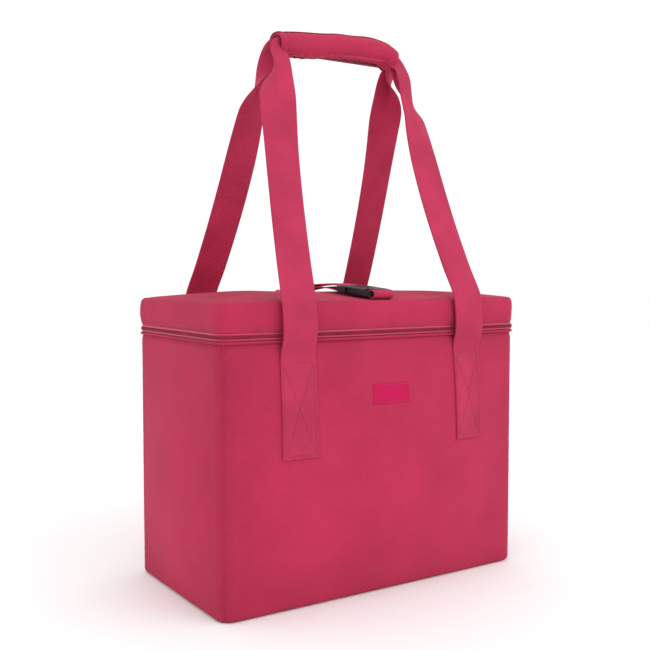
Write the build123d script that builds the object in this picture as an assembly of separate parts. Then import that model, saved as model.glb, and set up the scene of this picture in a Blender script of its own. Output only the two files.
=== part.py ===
from build123d import *
import os
from math import atan2, cos, degrees, radians, sin

# Insulated tote bag with a zipped, hinged lid, two webbing handles joined by a padded grip,
# and a buckled strap along the lid.
# Millimetres. The bag stands on Z = 0 and its front faces -Y. The origin is the middle of its base.

# ---- Bag body: overall sizes
WIDTH = 378.0            # across the front, between the corner seams
DEPTH = 203.0            # front to back, between the corner seams
WALL_TOP = 265.8         # top edge of the outer wall panels
CORNER_RADIUS = 18.0     # upright corners, seen from above
LEAST_CORNER = 2.0       # smallest corner an inner layer may have
FRONT_BOW = 18.0         # how far the front and back stand out at half height
SIDE_BOW = 10.0          # how far the sides stand out at half height
MOUTH_BOW = 4.0          # how far the front and back stand out at the mouth
LAYER_GAP = 0.2          # air between two layers that lie on each other
REACH = 400.0            # larger than the bag, for cutting blocks

# ---- Layers of the walls and base, from the outside in
FABRIC = 1.2
FOAM = 6.0
GEL = 4.5
LINER = 0.8
BOARD = 1.5
GEL_SIDE_MARGIN = 32.0   # from a gel panel's edge to the corner seam
GEL_LOW_MARGIN = 22.0    # from the base to a gel panel
GEL_TOP_MARGIN = 14.0    # from a gel panel to the top of the foam
BOARD_MARGIN = 3.0       # from the base board to the wall foam

# ---- Mouth of the bag
BINDING_HEIGHT = 6.6     # rolled edge that closes the top of the walls
PIPING_HEIGHT = 2.8      # welt round the outside of the mouth
PIPING_PROUD = 1.8       # how far the welt stands out from the wall

# ---- Zip, on the front and both sides
ZIP_BAND = 2.6           # tape that shows between the coil and its neighbour
COIL_HEIGHT = 1.4        # each half of the coil
COIL_PROUD = 0.6         # how far the coil stands out from the wall
TAPE = 0.8
TAPE_HIDDEN = 6.0        # tape sewn in behind the fabric
ZIP_END_MARGIN = 14.0    # from the end of the zip to the back corner
STOP_LENGTH = 2.0
STOP_GAP = 0.8
SLIDER_LENGTH = 12.0
SLIDER_PLATE = 1.3
SLIDER_GAP = 0.6         # between the slider and what it runs over
SLIDER_PARKED = 14.0     # from the end of the zip to the middle of the parked slider
LUG_WIDTH = 1.2
LUG_REACH = 3.8
PIN_RADIUS = 0.8
PIN_GAP = 0.3            # all round the pin, inside the pull's eye
EYE_WALL = 1.2
PULL_WIDTH = 5.0
PULL_THICKNESS = 1.6
PULL_LENGTH = 27.0
PULL_TAB_WIDTH = 8.0

# ---- Lid
SKIRT_HEIGHT = 26.8      # side of the lid, from the zip to the top seam
CROWN_RISE = 7.5         # the padded top, above the seam
CROWN_FLAT = 20.0        # front-to-back width of the level ridge on top
LID_FOAM = 8.6           # at the edge of the lid
RIM_FOAM = 5.0           # padding behind the skirt
HINGE_STRIP = 1.0

# ---- Label on the front
LABEL_WIDTH = 48.0
LABEL_HEIGHT = 20.5
LABEL_THICKNESS = 0.8
LABEL_MIDDLE = 210.0

# ---- Handles
WEBBING_WIDTH = 38.0
WEBBING = 1.8
STRAP_SPACING = 216.0    # between the middles of a handle's two straps
PATCH_LOW = 153.0        # sewn length of each strap on the wall
PATCH_TOP = 251.0
PIVOT_ABOVE_PATCH = 1.5  # the straps bend here when a handle swings
PIVOT_STAND_OFF = 8.0    # from the corner seam to the bend, outwards
STRAP_START = 1.2        # from the bend to the free strap
SKIRT_STAND_OFF = 9.6    # free strap in front of the zip and the lid
EDGE_STAND_OFF = 7.5     # free strap beside the top edge of the lid
EDGE_ABOVE = 3.0
GRIP_HEIGHT = 583.0      # middle of the grip
GRIP_SHIFT = 8.0         # the slack handles rest a little to the right
GRIP_LENGTH = 156.0
STRAP_TOP_DROP = 17.0    # the strap starts to fold this far below the grip's middle
STRAP_TOP_SPREAD = 174.0  # between a handle's two straps where they start to fold
STRAP_TOP_OFFSET = 15.0  # from the grip's middle plane to the strap there
STRAP_LEAN = 0.38        # how much the strap's lean eases towards the grip
STRAP_TWIST = 85.0       # degrees the strap has turned when it reaches the grip
TWIST_POWER = 3.2        # how late the twist comes
STRAP_SHARES = (0, 0.13, 0.3, 0.46, 0.62, 0.78, 0.9, 1)  # stations up the free strap
FOLD_SHARE = 0.78        # where along the free strap it starts to narrow
FOLDED_WIDTH = 22.0      # at the top of the free strap
BEND_WIDTH = 13.0        # where the strap turns into the grip
BEND_OUT = 6.0           # from the end of the wrap to the turned strap
BEND_STEP = 5.0          # from there to the level webbing inside the wrap
BEND_IN = 2.0
BEND_DROP = 7.0          # from the grip's middle down to the bend
BEND_EASE = 1.0
SKIRT_STATION = 15.0     # above the middle between the bend at the wall and the lid's side
BUNDLE_WIDTH = 8.2       # the folded webbing inside the grip
BUNDLE_HEIGHT = 8.0
BUNDLE_GAP = 1.2         # between the two handles' folded webbings

# ---- Grip wrap
PAD_GAP = 0.5            # between the folded webbing and the pad
PAD = 1.6
COVER = 1.0
LOOP_TAPE = 0.6
HOOK_TAPE = 0.5
GRIP_FABRIC = 0.9
WRAP_GAP = 0.1
HOOK_GAP = 0.15
WRAP_OPENING = 35.0      # degrees above and below the level, on the back of the wrap
FLAP_START = 100.0       # degrees, where the flap is sewn to the cover
FLAP_END = -62.0         # degrees, the flap's free edge
HOOK_SPAN = 22.0         # degrees of hook and of loop tape
HOOK_END_MARGIN = 10.0

# ---- Buckle and strap on the lid
STRAP_WIDTH = 25.0
STRAP = 1.6
LOOP_HALF_LENGTH = 6.5
LOOP_HALF_HEIGHT = 4.6
LOOP_FOOT = 0.8
BUCKLE_WIDTH = 32.0
BUCKLE_HEIGHT = 9.0
BUCKLE_WALL = 1.6
BUCKLE_GAP = 0.35        # between the two halves
RAIL = 2.8               # side rails beside the webbing
BAR = 2.6                # square bars that hold the webbing
LOOP_SLOT = 5.6          # slot between the male half's bar and its body
MALE_BODY = 13.0
PRONG_LENGTH = 24.0
PRONG_WIDTH = 4.2
TONGUE_WIDTH = 5.0
FEMALE_LENGTH = 31.0
SOCKET_DEPTH = 25.5
STRAP_SLOT = 5.2
BUCKLE_ROUND = 1.2
TAIL_RISE = 3.2          # from the bar's middle to the webbing's middle, above and below
RAIL_SHARE = 0.6         # height of the side rails, as a share of half the buckle
LOOP_FOOT_SHARE = 0.8    # length of the loop's foot, as a share of the loop
TURN_STEP = 45           # degrees between the strap's points round the bar
BAR_RUN = 6.0            # straight strap below the bar
TAIL_RUN = 8.0           # straight strap above the bar
TAIL_LIFT = 0.6
SLACK_RISES = ((0.25, 4.5), (0.55, 5.0), (0.8, 3.2))    # share of the slack, height above the lid
TAIL_RISES = ((0.65, 10.5), (0.4, 11.5), (0.12, 9.0))   # the same for the free tail above it
TAIL_CURL = ((-9.0, 7.0), (-1.0, 6.2), (3.0, 8.4))      # past the seam, height above the lid
SEWN_LENGTH = 24.0       # of the strap on the back of the lid
SEWN_MARGIN = 3.0

# ---- Places worked out from the sizes above
FOAM_IN = FABRIC + LAYER_GAP
FOAM_OUT = FOAM_IN + FOAM
GEL_IN = FOAM_OUT + LAYER_GAP
GEL_OUT = GEL_IN + GEL
LINER_IN = GEL_OUT + LAYER_GAP
LINER_OUT = LINER_IN + LINER
FOAM_TOP = WALL_TOP - BINDING_HEIGHT - 2 * LAYER_GAP
BASE_TOP = FABRIC + LAYER_GAP
BASE_FOAM_TOP = BASE_TOP + FOAM
BOARD_LOW = BASE_FOAM_TOP + LAYER_GAP
LINER_LOW = BOARD_LOW + BOARD + LAYER_GAP
TAPE_IN = FABRIC + LAYER_GAP
TAPE_OUT = TAPE_IN + TAPE
INNER_EDGE = TAPE_OUT + LAYER_GAP

PIPING_LOW = WALL_TOP + LAYER_GAP
PIPING_TOP = PIPING_LOW + PIPING_HEIGHT
LOWER_COIL_LOW = PIPING_TOP + ZIP_BAND
ZIP_LINE = LOWER_COIL_LOW + COIL_HEIGHT + LAYER_GAP / 2
UPPER_COIL_LOW = ZIP_LINE + LAYER_GAP / 2
SKIRT_LOW = UPPER_COIL_LOW + COIL_HEIGHT + ZIP_BAND
SKIRT_TOP = SKIRT_LOW + SKIRT_HEIGHT
LID_EDGE = SKIRT_TOP + LAYER_GAP + FABRIC
CROWN_RUN = DEPTH / 2 - CROWN_FLAT / 2
CROWN_SLOPE = degrees(atan2(CROWN_RISE, CROWN_RUN))
ZIP_END = DEPTH / 2 - ZIP_END_MARGIN
LID_FOAM_LOW = SKIRT_TOP - LID_FOAM

PIVOT_Y = DEPTH / 2 + PIVOT_STAND_OFF
PIVOT_Z = PATCH_TOP + PIVOT_ABOVE_PATCH

PAD_IN = (BUNDLE_HEIGHT ** 2 / 4 + (BUNDLE_WIDTH + BUNDLE_GAP / 2) ** 2) ** 0.5 + PAD_GAP
PAD_OUT = PAD_IN + PAD
COVER_IN = PAD_OUT + WRAP_GAP
COVER_OUT = COVER_IN + COVER
LOOP_IN = COVER_OUT + WRAP_GAP
LOOP_OUT = LOOP_IN + LOOP_TAPE
HOOK_IN = LOOP_OUT + HOOK_GAP
HOOK_OUT = HOOK_IN + HOOK_TAPE
FLAP_IN = HOOK_OUT + WRAP_GAP
FLAP_OUT = FLAP_IN + GRIP_FABRIC


# ---- Shapes that many pieces share
def outline(inset, front_bow, side_bow, height):
    """Plan curve of the bag, moved inwards: four bowed sides joined by rounded corners."""
    half_x = WIDTH / 2 - inset
    half_y = DEPTH / 2 - inset
    radius = max(CORNER_RADIUS - inset, LEAST_CORNER)
    run_x = half_x - radius
    run_y = half_y - radius
    corners = [(half_x, -half_y), (half_x, half_y), (-half_x, half_y), (-half_x, -half_y)]
    starts = [(-run_x, -half_y), (half_x, -run_y), (run_x, half_y), (-half_x, run_y)]
    ends = [(run_x, -half_y), (half_x, run_y), (-run_x, half_y), (-half_x, -run_y)]
    pulls = [
        (0, -half_y - 2 * front_bow),
        (half_x + 2 * side_bow, 0),
        (0, half_y + 2 * front_bow),
        (-half_x - 2 * side_bow, 0),
    ]
    edges = []
    for side in range(4):
        edges.append(Bezier(starts[side], pulls[side], ends[side]))
        edges.append(Bezier(ends[side], corners[side], starts[(side + 1) % 4]))
    return Wire(edges).moved(Location((0, 0, height)))


def block(x_range, y_range, z_range):
    """A box given by its limits along X, Y and Z."""
    sizes = [high - low for low, high in (x_range, y_range, z_range)]
    middle = [(high + low) / 2 for low, high in (x_range, y_range, z_range)]
    return Pos(*middle) * Box(*sizes)


def between(low, high):
    """Everything between two heights."""
    return block((-REACH, REACH), (-REACH, REACH), (low, high))


def body_form(inset):
    """The bowed body as one solid, moved inwards."""
    levels = [(0, 0, 0), (WALL_TOP / 2, FRONT_BOW, SIDE_BOW), (WALL_TOP, MOUTH_BOW, 0)]
    sections = [outline(inset, front, side, height) for height, front, side in levels]
    return Solid.make_loft(sections)


def wall_layer(outer, inner, low, high):
    """One layer of the walls, all round."""
    return (body_form(outer) - body_form(inner)) & between(low, high)


def wedge(side):
    """The space in front of, behind, left or right of the diagonals through the corner seams."""
    far = REACH - max(WIDTH, DEPTH) / 2
    near = min(WIDTH, DEPTH) / 2
    far_x = WIDTH / 2 + far
    far_y = DEPTH / 2 + far
    near_x = WIDTH / 2 - near
    near_y = DEPTH / 2 - near
    corners = {
        "front": [(-far_x, -far_y), (far_x, -far_y), (near_x, -near_y), (-near_x, -near_y)],
        "back": [(far_x, far_y), (-far_x, far_y), (-near_x, near_y), (near_x, near_y)],
        "left": [(-far_x, far_y), (-far_x, -far_y), (-near_x, -near_y), (-near_x, near_y)],
        "right": [(far_x, -far_y), (far_x, far_y), (near_x, near_y), (near_x, -near_y)],
    }[side]
    points = [corner for place, corner in enumerate(corners) if corner not in corners[:place]]
    return extrude(make_face(Polyline(*points, close=True)), REACH)


def rim(outer, inner, low, high):
    """A ring that follows the mouth."""
    ring = Face(outline(outer, MOUTH_BOW, 0, low)) - Face(outline(inner, MOUTH_BOW, 0, low))
    return extrude(ring, high - low, dir=(0, 0, 1))


def plate(inset, low, high):
    """A plate that fills the mouth."""
    return extrude(Face(outline(inset, MOUTH_BOW, 0, low)), high - low, dir=(0, 0, 1))


def zip_run(ring):
    """The part of a ring that runs round the front and both sides."""
    return ring & block((-REACH, REACH), (-REACH, ZIP_END), (0, REACH))


def crown(inset, low):
    """The raised top of the lid, from its edge up to the level ridge."""
    edge = outline(inset, MOUTH_BOW, 0, low)
    ridge = outline(CROWN_RUN, MOUTH_BOW, 0, low + CROWN_RISE)
    return Solid.make_loft([edge, ridge], ruled=True)


def straps_at(x_values, y_range, z_range, width):
    """Upright strips of the given width, as cutting blocks."""
    return [block((x - width / 2, x + width / 2), y_range, z_range) for x in x_values]


# ---- Body pieces
def body_pieces():
    """Outer panels, padding, gel panels, liner, board and the edge of the mouth."""
    pieces = {}
    fabric = wall_layer(0, FABRIC, BASE_TOP, WALL_TOP)
    foam = wall_layer(FOAM_IN, FOAM_OUT, BASE_TOP, FOAM_TOP)
    gel = wall_layer(GEL_IN, GEL_OUT, GEL_LOW_MARGIN, FOAM_TOP - GEL_TOP_MARGIN)
    for side in ("front", "back", "left", "right"):
        space = wedge(side)
        reach_x = WIDTH / 2 - GEL_SIDE_MARGIN if side in ("front", "back") else REACH
        reach_y = DEPTH / 2 - GEL_SIDE_MARGIN if side in ("left", "right") else REACH
        pieces[f"{side}_panel"] = fabric & space
        pieces[f"{side}_foam"] = foam & space
        pieces[f"{side}_gel_panel"] = (
            gel & space & block((-reach_x, reach_x), (-reach_y, reach_y), (0, REACH))
        )
    base = body_form(0)
    pieces["base_panel"] = base & between(0, FABRIC)
    pieces["base_foam"] = body_form(GEL_IN) & between(BASE_TOP, BASE_FOAM_TOP)
    pieces["base_board"] = body_form(GEL_IN + BOARD_MARGIN) & between(BOARD_LOW, BOARD_LOW + BOARD)
    tub = body_form(LINER_IN) & between(LINER_LOW, FOAM_TOP)
    pieces["liner"] = tub - (body_form(LINER_OUT) & between(LINER_LOW + LINER, WALL_TOP))
    pieces["mouth_binding"] = rim(INNER_EDGE, LINER_OUT, FOAM_TOP + LAYER_GAP, WALL_TOP - LAYER_GAP)
    pieces["mouth_piping"] = rim(-PIPING_PROUD, FABRIC, PIPING_LOW, PIPING_TOP)
    label = wall_layer(-LAYER_GAP - LABEL_THICKNESS, -LAYER_GAP, 0, WALL_TOP)
    half_label = LABEL_HEIGHT / 2
    label_heights = (LABEL_MIDDLE - half_label, LABEL_MIDDLE + half_label)
    pieces["label_patch"] = label & straps_at([0], (-REACH, 0), label_heights, LABEL_WIDTH)[0]
    hinge = rim(0, HINGE_STRIP, PIPING_TOP + LAYER_GAP, SKIRT_LOW - 2 * LAYER_GAP)
    half_hinge = WIDTH / 2 - CORNER_RADIUS
    pieces["hinge_strip"] = hinge & block((-half_hinge, half_hinge), (0, REACH), (0, REACH))
    return pieces


def zip_pieces():
    """Tapes and coil halves, the end stops, the slider and its pull."""
    pieces = {}
    lower_tape_low = WALL_TOP - TAPE_HIDDEN
    upper_tape_top = SKIRT_LOW + TAPE_HIDDEN
    lower_coil_top = LOWER_COIL_LOW + COIL_HEIGHT
    upper_coil_top = UPPER_COIL_LOW + COIL_HEIGHT
    pieces["lower_zip_tape"] = zip_run(rim(TAPE_IN, TAPE_OUT, lower_tape_low, lower_coil_top))
    pieces["upper_zip_tape"] = zip_run(rim(TAPE_IN, TAPE_OUT, UPPER_COIL_LOW, upper_tape_top))
    pieces["lower_zip_coil"] = zip_run(rim(-COIL_PROUD, FABRIC, LOWER_COIL_LOW, lower_coil_top))
    pieces["upper_zip_coil"] = zip_run(rim(-COIL_PROUD, FABRIC, UPPER_COIL_LOW, upper_coil_top))
    coil_face = WIDTH / 2 + COIL_PROUD
    stop_low = ZIP_END + STOP_GAP
    stops = []
    for side in (-1, 1):
        x_range = sorted((side * (WIDTH / 2 - FABRIC), side * coil_face))
        y_range = (stop_low, stop_low + STOP_LENGTH)
        stops.append(block(x_range, y_range, (LOWER_COIL_LOW, upper_coil_top)))
    pieces["zip_stops"] = Compound(stops)
    parked = ZIP_END - SLIDER_PARKED
    along = (parked - SLIDER_LENGTH / 2, parked + SLIDER_LENGTH / 2)
    low = PIPING_TOP + SLIDER_GAP
    high = SKIRT_LOW - SLIDER_GAP
    plate_in = coil_face + SLIDER_GAP
    plate_out = plate_in + SLIDER_PLATE
    face = block((plate_in, plate_out), along, (low, high))
    face = fillet(face.edges().filter_by(Axis.X), SLIDER_LENGTH / 5)
    flange_x = (WIDTH / 2 - FABRIC + LAYER_GAP, plate_in)
    flange_y = (along[0] + SLIDER_LENGTH / 5, along[1] - SLIDER_LENGTH / 5)
    flange = block(flange_x, flange_y, (low, LOWER_COIL_LOW - SLIDER_GAP))
    eye_radius = PIN_RADIUS + PIN_GAP + EYE_WALL
    pin_x = plate_out + eye_radius + PIN_GAP
    pin_z = (low + high) / 2
    lug_near = PULL_WIDTH / 2 + PIN_GAP
    slider = face + flange
    for side in (-1, 1):
        lug_y = sorted((parked + side * lug_near, parked + side * (lug_near + LUG_WIDTH)))
        lug_z = (pin_z - 2 * PIN_RADIUS, pin_z + 2 * PIN_RADIUS)
        slider += block((plate_out - LAYER_GAP, plate_out + LUG_REACH), lug_y, lug_z)
    pin_length = 2 * (lug_near + LUG_WIDTH)
    slider += Pos(pin_x, parked, pin_z) * Rot(90, 0, 0) * Cylinder(PIN_RADIUS, pin_length)
    pieces["zip_slider"] = slider
    eye = Pos(pin_x, parked, pin_z) * Rot(90, 0, 0) * Cylinder(eye_radius, PULL_WIDTH)
    tab_x = (pin_x - PULL_THICKNESS / 2, pin_x + PULL_THICKNESS / 2)
    half = PULL_WIDTH / 2
    neck = block(tab_x, (parked - half, parked + half), (pin_z - PULL_LENGTH, pin_z))
    wide = PULL_TAB_WIDTH / 2
    tab_top = low - SLIDER_GAP
    tab = block(tab_x, (parked - wide, parked + wide), (pin_z - PULL_LENGTH, tab_top))
    tab = fillet(tab.edges().filter_by(Axis.X), PULL_TAB_WIDTH / 4)
    hole = Pos(pin_x, parked, pin_z) * Rot(90, 0, 0) * Cylinder(PIN_RADIUS + PIN_GAP, REACH)
    neck = neck & block(tab_x, (0, REACH), (tab_top - PULL_TAB_WIDTH / 2, pin_z))
    pieces["zip_pull"] = eye + neck + tab - hole
    return pieces


def lid_pieces():
    """Top, skirt, padding, liner and binding of the lid."""
    pieces = {}
    pieces["lid_skirt"] = rim(0, FABRIC, SKIRT_LOW, SKIRT_TOP)
    top_low = SKIRT_TOP + LAYER_GAP
    top = plate(0, top_low, LID_EDGE) + crown(0, LID_EDGE)
    pieces["lid_top"] = top - crown(FABRIC, top_low)
    foam_edge = top_low - LAYER_GAP
    foam = plate(FOAM_IN, LID_FOAM_LOW, foam_edge) + crown(FOAM_IN, foam_edge)
    pieces["lid_foam"] = foam
    rim_out = INNER_EDGE + RIM_FOAM
    rim_top = LID_FOAM_LOW - LAYER_GAP
    rim_low = SKIRT_LOW + FABRIC + 2 * LAYER_GAP
    liner_in = rim_out + LAYER_GAP
    liner_out = liner_in + LINER
    pieces["lid_rim_foam"] = rim(INNER_EDGE, rim_out, rim_low, rim_top)
    cap = plate(liner_in, rim_low, rim_top)
    pieces["lid_liner"] = cap - plate(liner_out, rim_low, rim_top - LINER)
    pieces["lid_binding"] = rim(INNER_EDGE, liner_out, SKIRT_LOW, SKIRT_LOW + FABRIC)
    return pieces


# ---- Handles
def strap_section(middle, along, across, width, thickness):
    """A rectangle across the strap's path. along is the path's direction."""
    along = Vector(*along).normalized()
    normal = Vector(*across).cross(along).normalized()
    level = along.cross(normal)
    centre = Vector(*middle)
    side = level * (width / 2)
    lift = normal * (thickness / 2)
    corners = [centre - side - lift, centre + side - lift, centre + side + lift, centre - side + lift]
    return Wire.make_polygon(corners, close=True)


def leg_stations(side):
    """Places up one strap of the front handle: middle, direction across, width and thickness."""
    strap_x = STRAP_SPACING / 2
    edge_z = LID_EDGE + EDGE_ABOVE
    edge_y = DEPTH / 2 + EDGE_STAND_OFF
    skirt_y = -DEPTH / 2 - SKIRT_STAND_OFF
    skirt_z = (SKIRT_LOW + PIVOT_Z) / 2 + SKIRT_STATION
    stations = [
        ((side * strap_x, -PIVOT_Y, PIVOT_Z + STRAP_START), 0, WEBBING_WIDTH),
        ((side * strap_x, skirt_y, skirt_z), 0, WEBBING_WIDTH),
    ]
    top_x = STRAP_TOP_SPREAD / 2
    top_z = GRIP_HEIGHT - STRAP_TOP_DROP
    for share in STRAP_SHARES:
        eased = share + STRAP_LEAN * share * (1 - share)
        x = side * (strap_x + (top_x - strap_x) * eased) + GRIP_SHIFT * share
        y = -edge_y + (edge_y - STRAP_TOP_OFFSET) * eased
        z = edge_z + (top_z - edge_z) * share
        fold = max(0, (share - FOLD_SHARE) / (1 - FOLD_SHARE))
        width = WEBBING_WIDTH + (FOLDED_WIDTH - WEBBING_WIDTH) * fold
        stations.append(((x, y, z), STRAP_TWIST * share ** TWIST_POWER, width))
    bundle_y = -(BUNDLE_WIDTH + BUNDLE_GAP) / 2
    bend_x = GRIP_LENGTH / 2 + BEND_OUT
    middle_y = (bundle_y - STRAP_TOP_OFFSET) / 2
    turns = [
        ((top_x - BEND_IN, middle_y, GRIP_HEIGHT - BEND_DROP), BEND_WIDTH),
        ((bend_x, bundle_y, GRIP_HEIGHT - BEND_EASE), BUNDLE_WIDTH),
        ((bend_x - BEND_STEP, bundle_y, GRIP_HEIGHT), BUNDLE_WIDTH),
    ]
    for (x, y, z), width in turns:
        stations.append(((side * x + GRIP_SHIFT, y, z), 90, width))
    placed = []
    for middle, twist, width in stations:
        turn = radians(twist)
        across = (-side * cos(turn), -sin(turn), 0)
        thickness = WEBBING * WEBBING_WIDTH / width
        placed.append((middle, across, width, min(thickness, BUNDLE_HEIGHT)))
    return placed


def handle_webbing():
    """The front handle's webbing: up the left strap, through the grip, down the right strap."""
    stations = leg_stations(-1) + leg_stations(1)[::-1]
    sections = []
    for place, (middle, across, width, thickness) in enumerate(stations):
        before = Vector(*stations[max(place - 1, 0)][0])
        after = Vector(*stations[min(place + 1, len(stations) - 1)][0])
        along = after - before
        sections.append(strap_section(middle, tuple(along), across, width, thickness))
    return Solid.make_loft(sections, ruled=True)


def wrap_arc(inner, outer, start, end, margin=0.0):
    """A curved strip round the grip's axis. Angles are in degrees from the back, turning upwards."""
    length = GRIP_LENGTH - 2 * margin
    ring = Circle(outer) - Circle(inner)
    far = 2 * outer / cos(radians(min((end - start) / 8, 60)))
    steps = 8
    spread = [start + (end - start) * step / steps for step in range(steps + 1)]
    fan = [(0, 0)] + [(far * cos(radians(a)), far * sin(radians(a))) for a in spread]
    sector = make_face(Polyline(*fan, close=True))
    profile = ring & sector
    solid = extrude(profile, length)
    # The profile's X runs along +Y and its Y along +Z, so the strip runs along +X.
    place = Plane(origin=(GRIP_SHIFT - length / 2, 0, GRIP_HEIGHT), x_dir=(0, 1, 0), z_dir=(1, 0, 0))
    return place * solid


def handle_pieces():
    """Both handles, the sewn ends of their straps, and the wrap round the grip."""
    pieces = {}
    patch = wall_layer(-LAYER_GAP - WEBBING, -LAYER_GAP, 0, WALL_TOP)
    strap_x = STRAP_SPACING / 2
    for name, y_range in (("front", (-REACH, 0)), ("back", (0, REACH))):
        cuts = straps_at((-strap_x, strap_x), y_range, (PATCH_LOW, PATCH_TOP), WEBBING_WIDTH)
        pieces[f"{name}_strap_ends"] = Compound([(patch & cut).solids()[0] for cut in cuts])
    webbing = handle_webbing()
    pieces["front_handle_webbing"] = webbing
    pieces["back_handle_webbing"] = mirror(webbing, about=Plane.XZ)
    pieces["grip_pad"] = wrap_arc(PAD_IN, PAD_OUT, WRAP_OPENING, 360 - WRAP_OPENING)
    pieces["grip_cover"] = wrap_arc(COVER_IN, COVER_OUT, WRAP_OPENING, 360 - WRAP_OPENING)
    tape_end = FLAP_END + HOOK_SPAN
    pieces["loop_tape"] = wrap_arc(LOOP_IN, LOOP_OUT, FLAP_END, tape_end, HOOK_END_MARGIN)
    pieces["hook_tape"] = wrap_arc(HOOK_IN, HOOK_OUT, FLAP_END, tape_end, HOOK_END_MARGIN)
    pieces["grip_flap"] = wrap_arc(FLAP_IN, FLAP_OUT, FLAP_END, FLAP_START)
    return pieces


# ---- Buckle and strap
def buckle_frame():
    """A plane on the lid's front slope: origin at the male half's bar, Y towards the back."""
    above = LOOP_HALF_HEIGHT + LOOP_FOOT + LAYER_GAP
    bar_y = -DEPTH / 2 + LOOP_HALF_LENGTH + LAYER_GAP
    surface = lid_surface(bar_y)
    slope = radians(CROWN_SLOPE)
    origin = (0, bar_y - above * sin(slope), surface + above * cos(slope))
    return Plane(origin=origin, x_dir=(1, 0, 0), z_dir=(0, -sin(slope), cos(slope)))


def webbing_loop():
    """Short loop of webbing that holds the male half, with the foot that is sewn to the lid."""
    ring = Ellipse(LOOP_HALF_LENGTH, LOOP_HALF_HEIGHT)
    ring -= Ellipse(LOOP_HALF_LENGTH - STRAP, LOOP_HALF_HEIGHT - STRAP)
    across = Plane(origin=(-STRAP_WIDTH / 2, 0, 0), x_dir=(0, 1, 0), z_dir=(1, 0, 0))
    loop = across * extrude(ring, STRAP_WIDTH)
    foot_half = LOOP_HALF_LENGTH * LOOP_FOOT_SHARE
    foot_low = -LOOP_HALF_HEIGHT - LOOP_FOOT
    half = STRAP_WIDTH / 2
    foot = block((-half, half), (-foot_half, foot_half), (foot_low, -LOOP_HALF_HEIGHT + STRAP / 2))
    gap = across * extrude(Ellipse(LOOP_HALF_LENGTH - STRAP, LOOP_HALF_HEIGHT - STRAP), STRAP_WIDTH)
    return loop + (foot - gap)


def male_half():
    """Bar, rails, body, two side prongs and a middle tongue."""
    half = BUCKLE_WIDTH / 2
    lift = BUCKLE_HEIGHT / 2
    bar_half = BAR / 2
    body_low = bar_half + LOOP_SLOT
    body_high = body_low + MALE_BODY
    male = block((-half, half), (-bar_half, bar_half), (-bar_half, bar_half))
    for side in (-1, 1):
        rail_x = sorted((side * half, side * (half - RAIL)))
        male += block(rail_x, (-bar_half, body_low + RAIL), (-lift * RAIL_SHARE, lift * RAIL_SHARE))
    body = block((-half, half), (body_low, body_high), (-lift, lift))
    body = fillet(body.edges().filter_by(Axis.Y), BUCKLE_ROUND * 2)
    male += body
    prong_out = half - BUCKLE_WALL - BUCKLE_GAP
    prong_lift = lift - BUCKLE_WALL - BUCKLE_GAP
    reach = body_high + PRONG_LENGTH
    for side in (-1, 1):
        prong_x = sorted((side * prong_out, side * (prong_out - PRONG_WIDTH)))
        prong = block(prong_x, (body_high - 1, reach), (-prong_lift, prong_lift))
        male += fillet(prong.edges().filter_by(Axis.Z), BUCKLE_ROUND)
    tongue = TONGUE_WIDTH / 2
    male += block((-tongue, tongue), (body_high - 1, reach - 2), (-prong_lift / 2, prong_lift / 2))
    return male


def female_half():
    """Socket with open sides, and two bars at the back for the strap."""
    half = BUCKLE_WIDTH / 2
    lift = BUCKLE_HEIGHT / 2
    low = BAR / 2 + LOOP_SLOT + MALE_BODY + BUCKLE_GAP
    high = low + FEMALE_LENGTH
    shell = block((-half, half), (low, high), (-lift, lift))
    shell = fillet(shell.edges().filter_by(Axis.Y), BUCKLE_ROUND * 2)
    socket_x = half - BUCKLE_WALL
    socket_z = lift - BUCKLE_WALL
    shell -= block((-socket_x, socket_x), (low - 1, low + SOCKET_DEPTH), (-socket_z, socket_z))
    window_low = low + BUCKLE_WALL * 2
    window_high = low + SOCKET_DEPTH - BUCKLE_WALL * 2
    shell -= block((-REACH, REACH), (window_low, window_high), (-socket_z, socket_z))
    rail_end = high + STRAP_SLOT + BAR
    for side in (-1, 1):
        rail_x = sorted((side * half, side * (half - RAIL)))
        shell += block(rail_x, (high - RAIL, rail_end), (-lift * RAIL_SHARE, lift * RAIL_SHARE))
    bar = block((-half, half), (rail_end - BAR, rail_end), (-BAR / 2, BAR / 2))
    return shell + bar


def strap_bar_y():
    """Distance along the buckle to the middle of the bar that holds the strap."""
    low = BAR / 2 + LOOP_SLOT + MALE_BODY + BUCKLE_GAP
    return low + FEMALE_LENGTH + STRAP_SLOT + BAR / 2


def lid_surface(y):
    """Height of the lid's top along its middle line."""
    from_edge = DEPTH / 2 + MOUTH_BOW - abs(y)
    return LID_EDGE + min(CROWN_RISE, from_edge * CROWN_RISE / CROWN_RUN)


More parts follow.
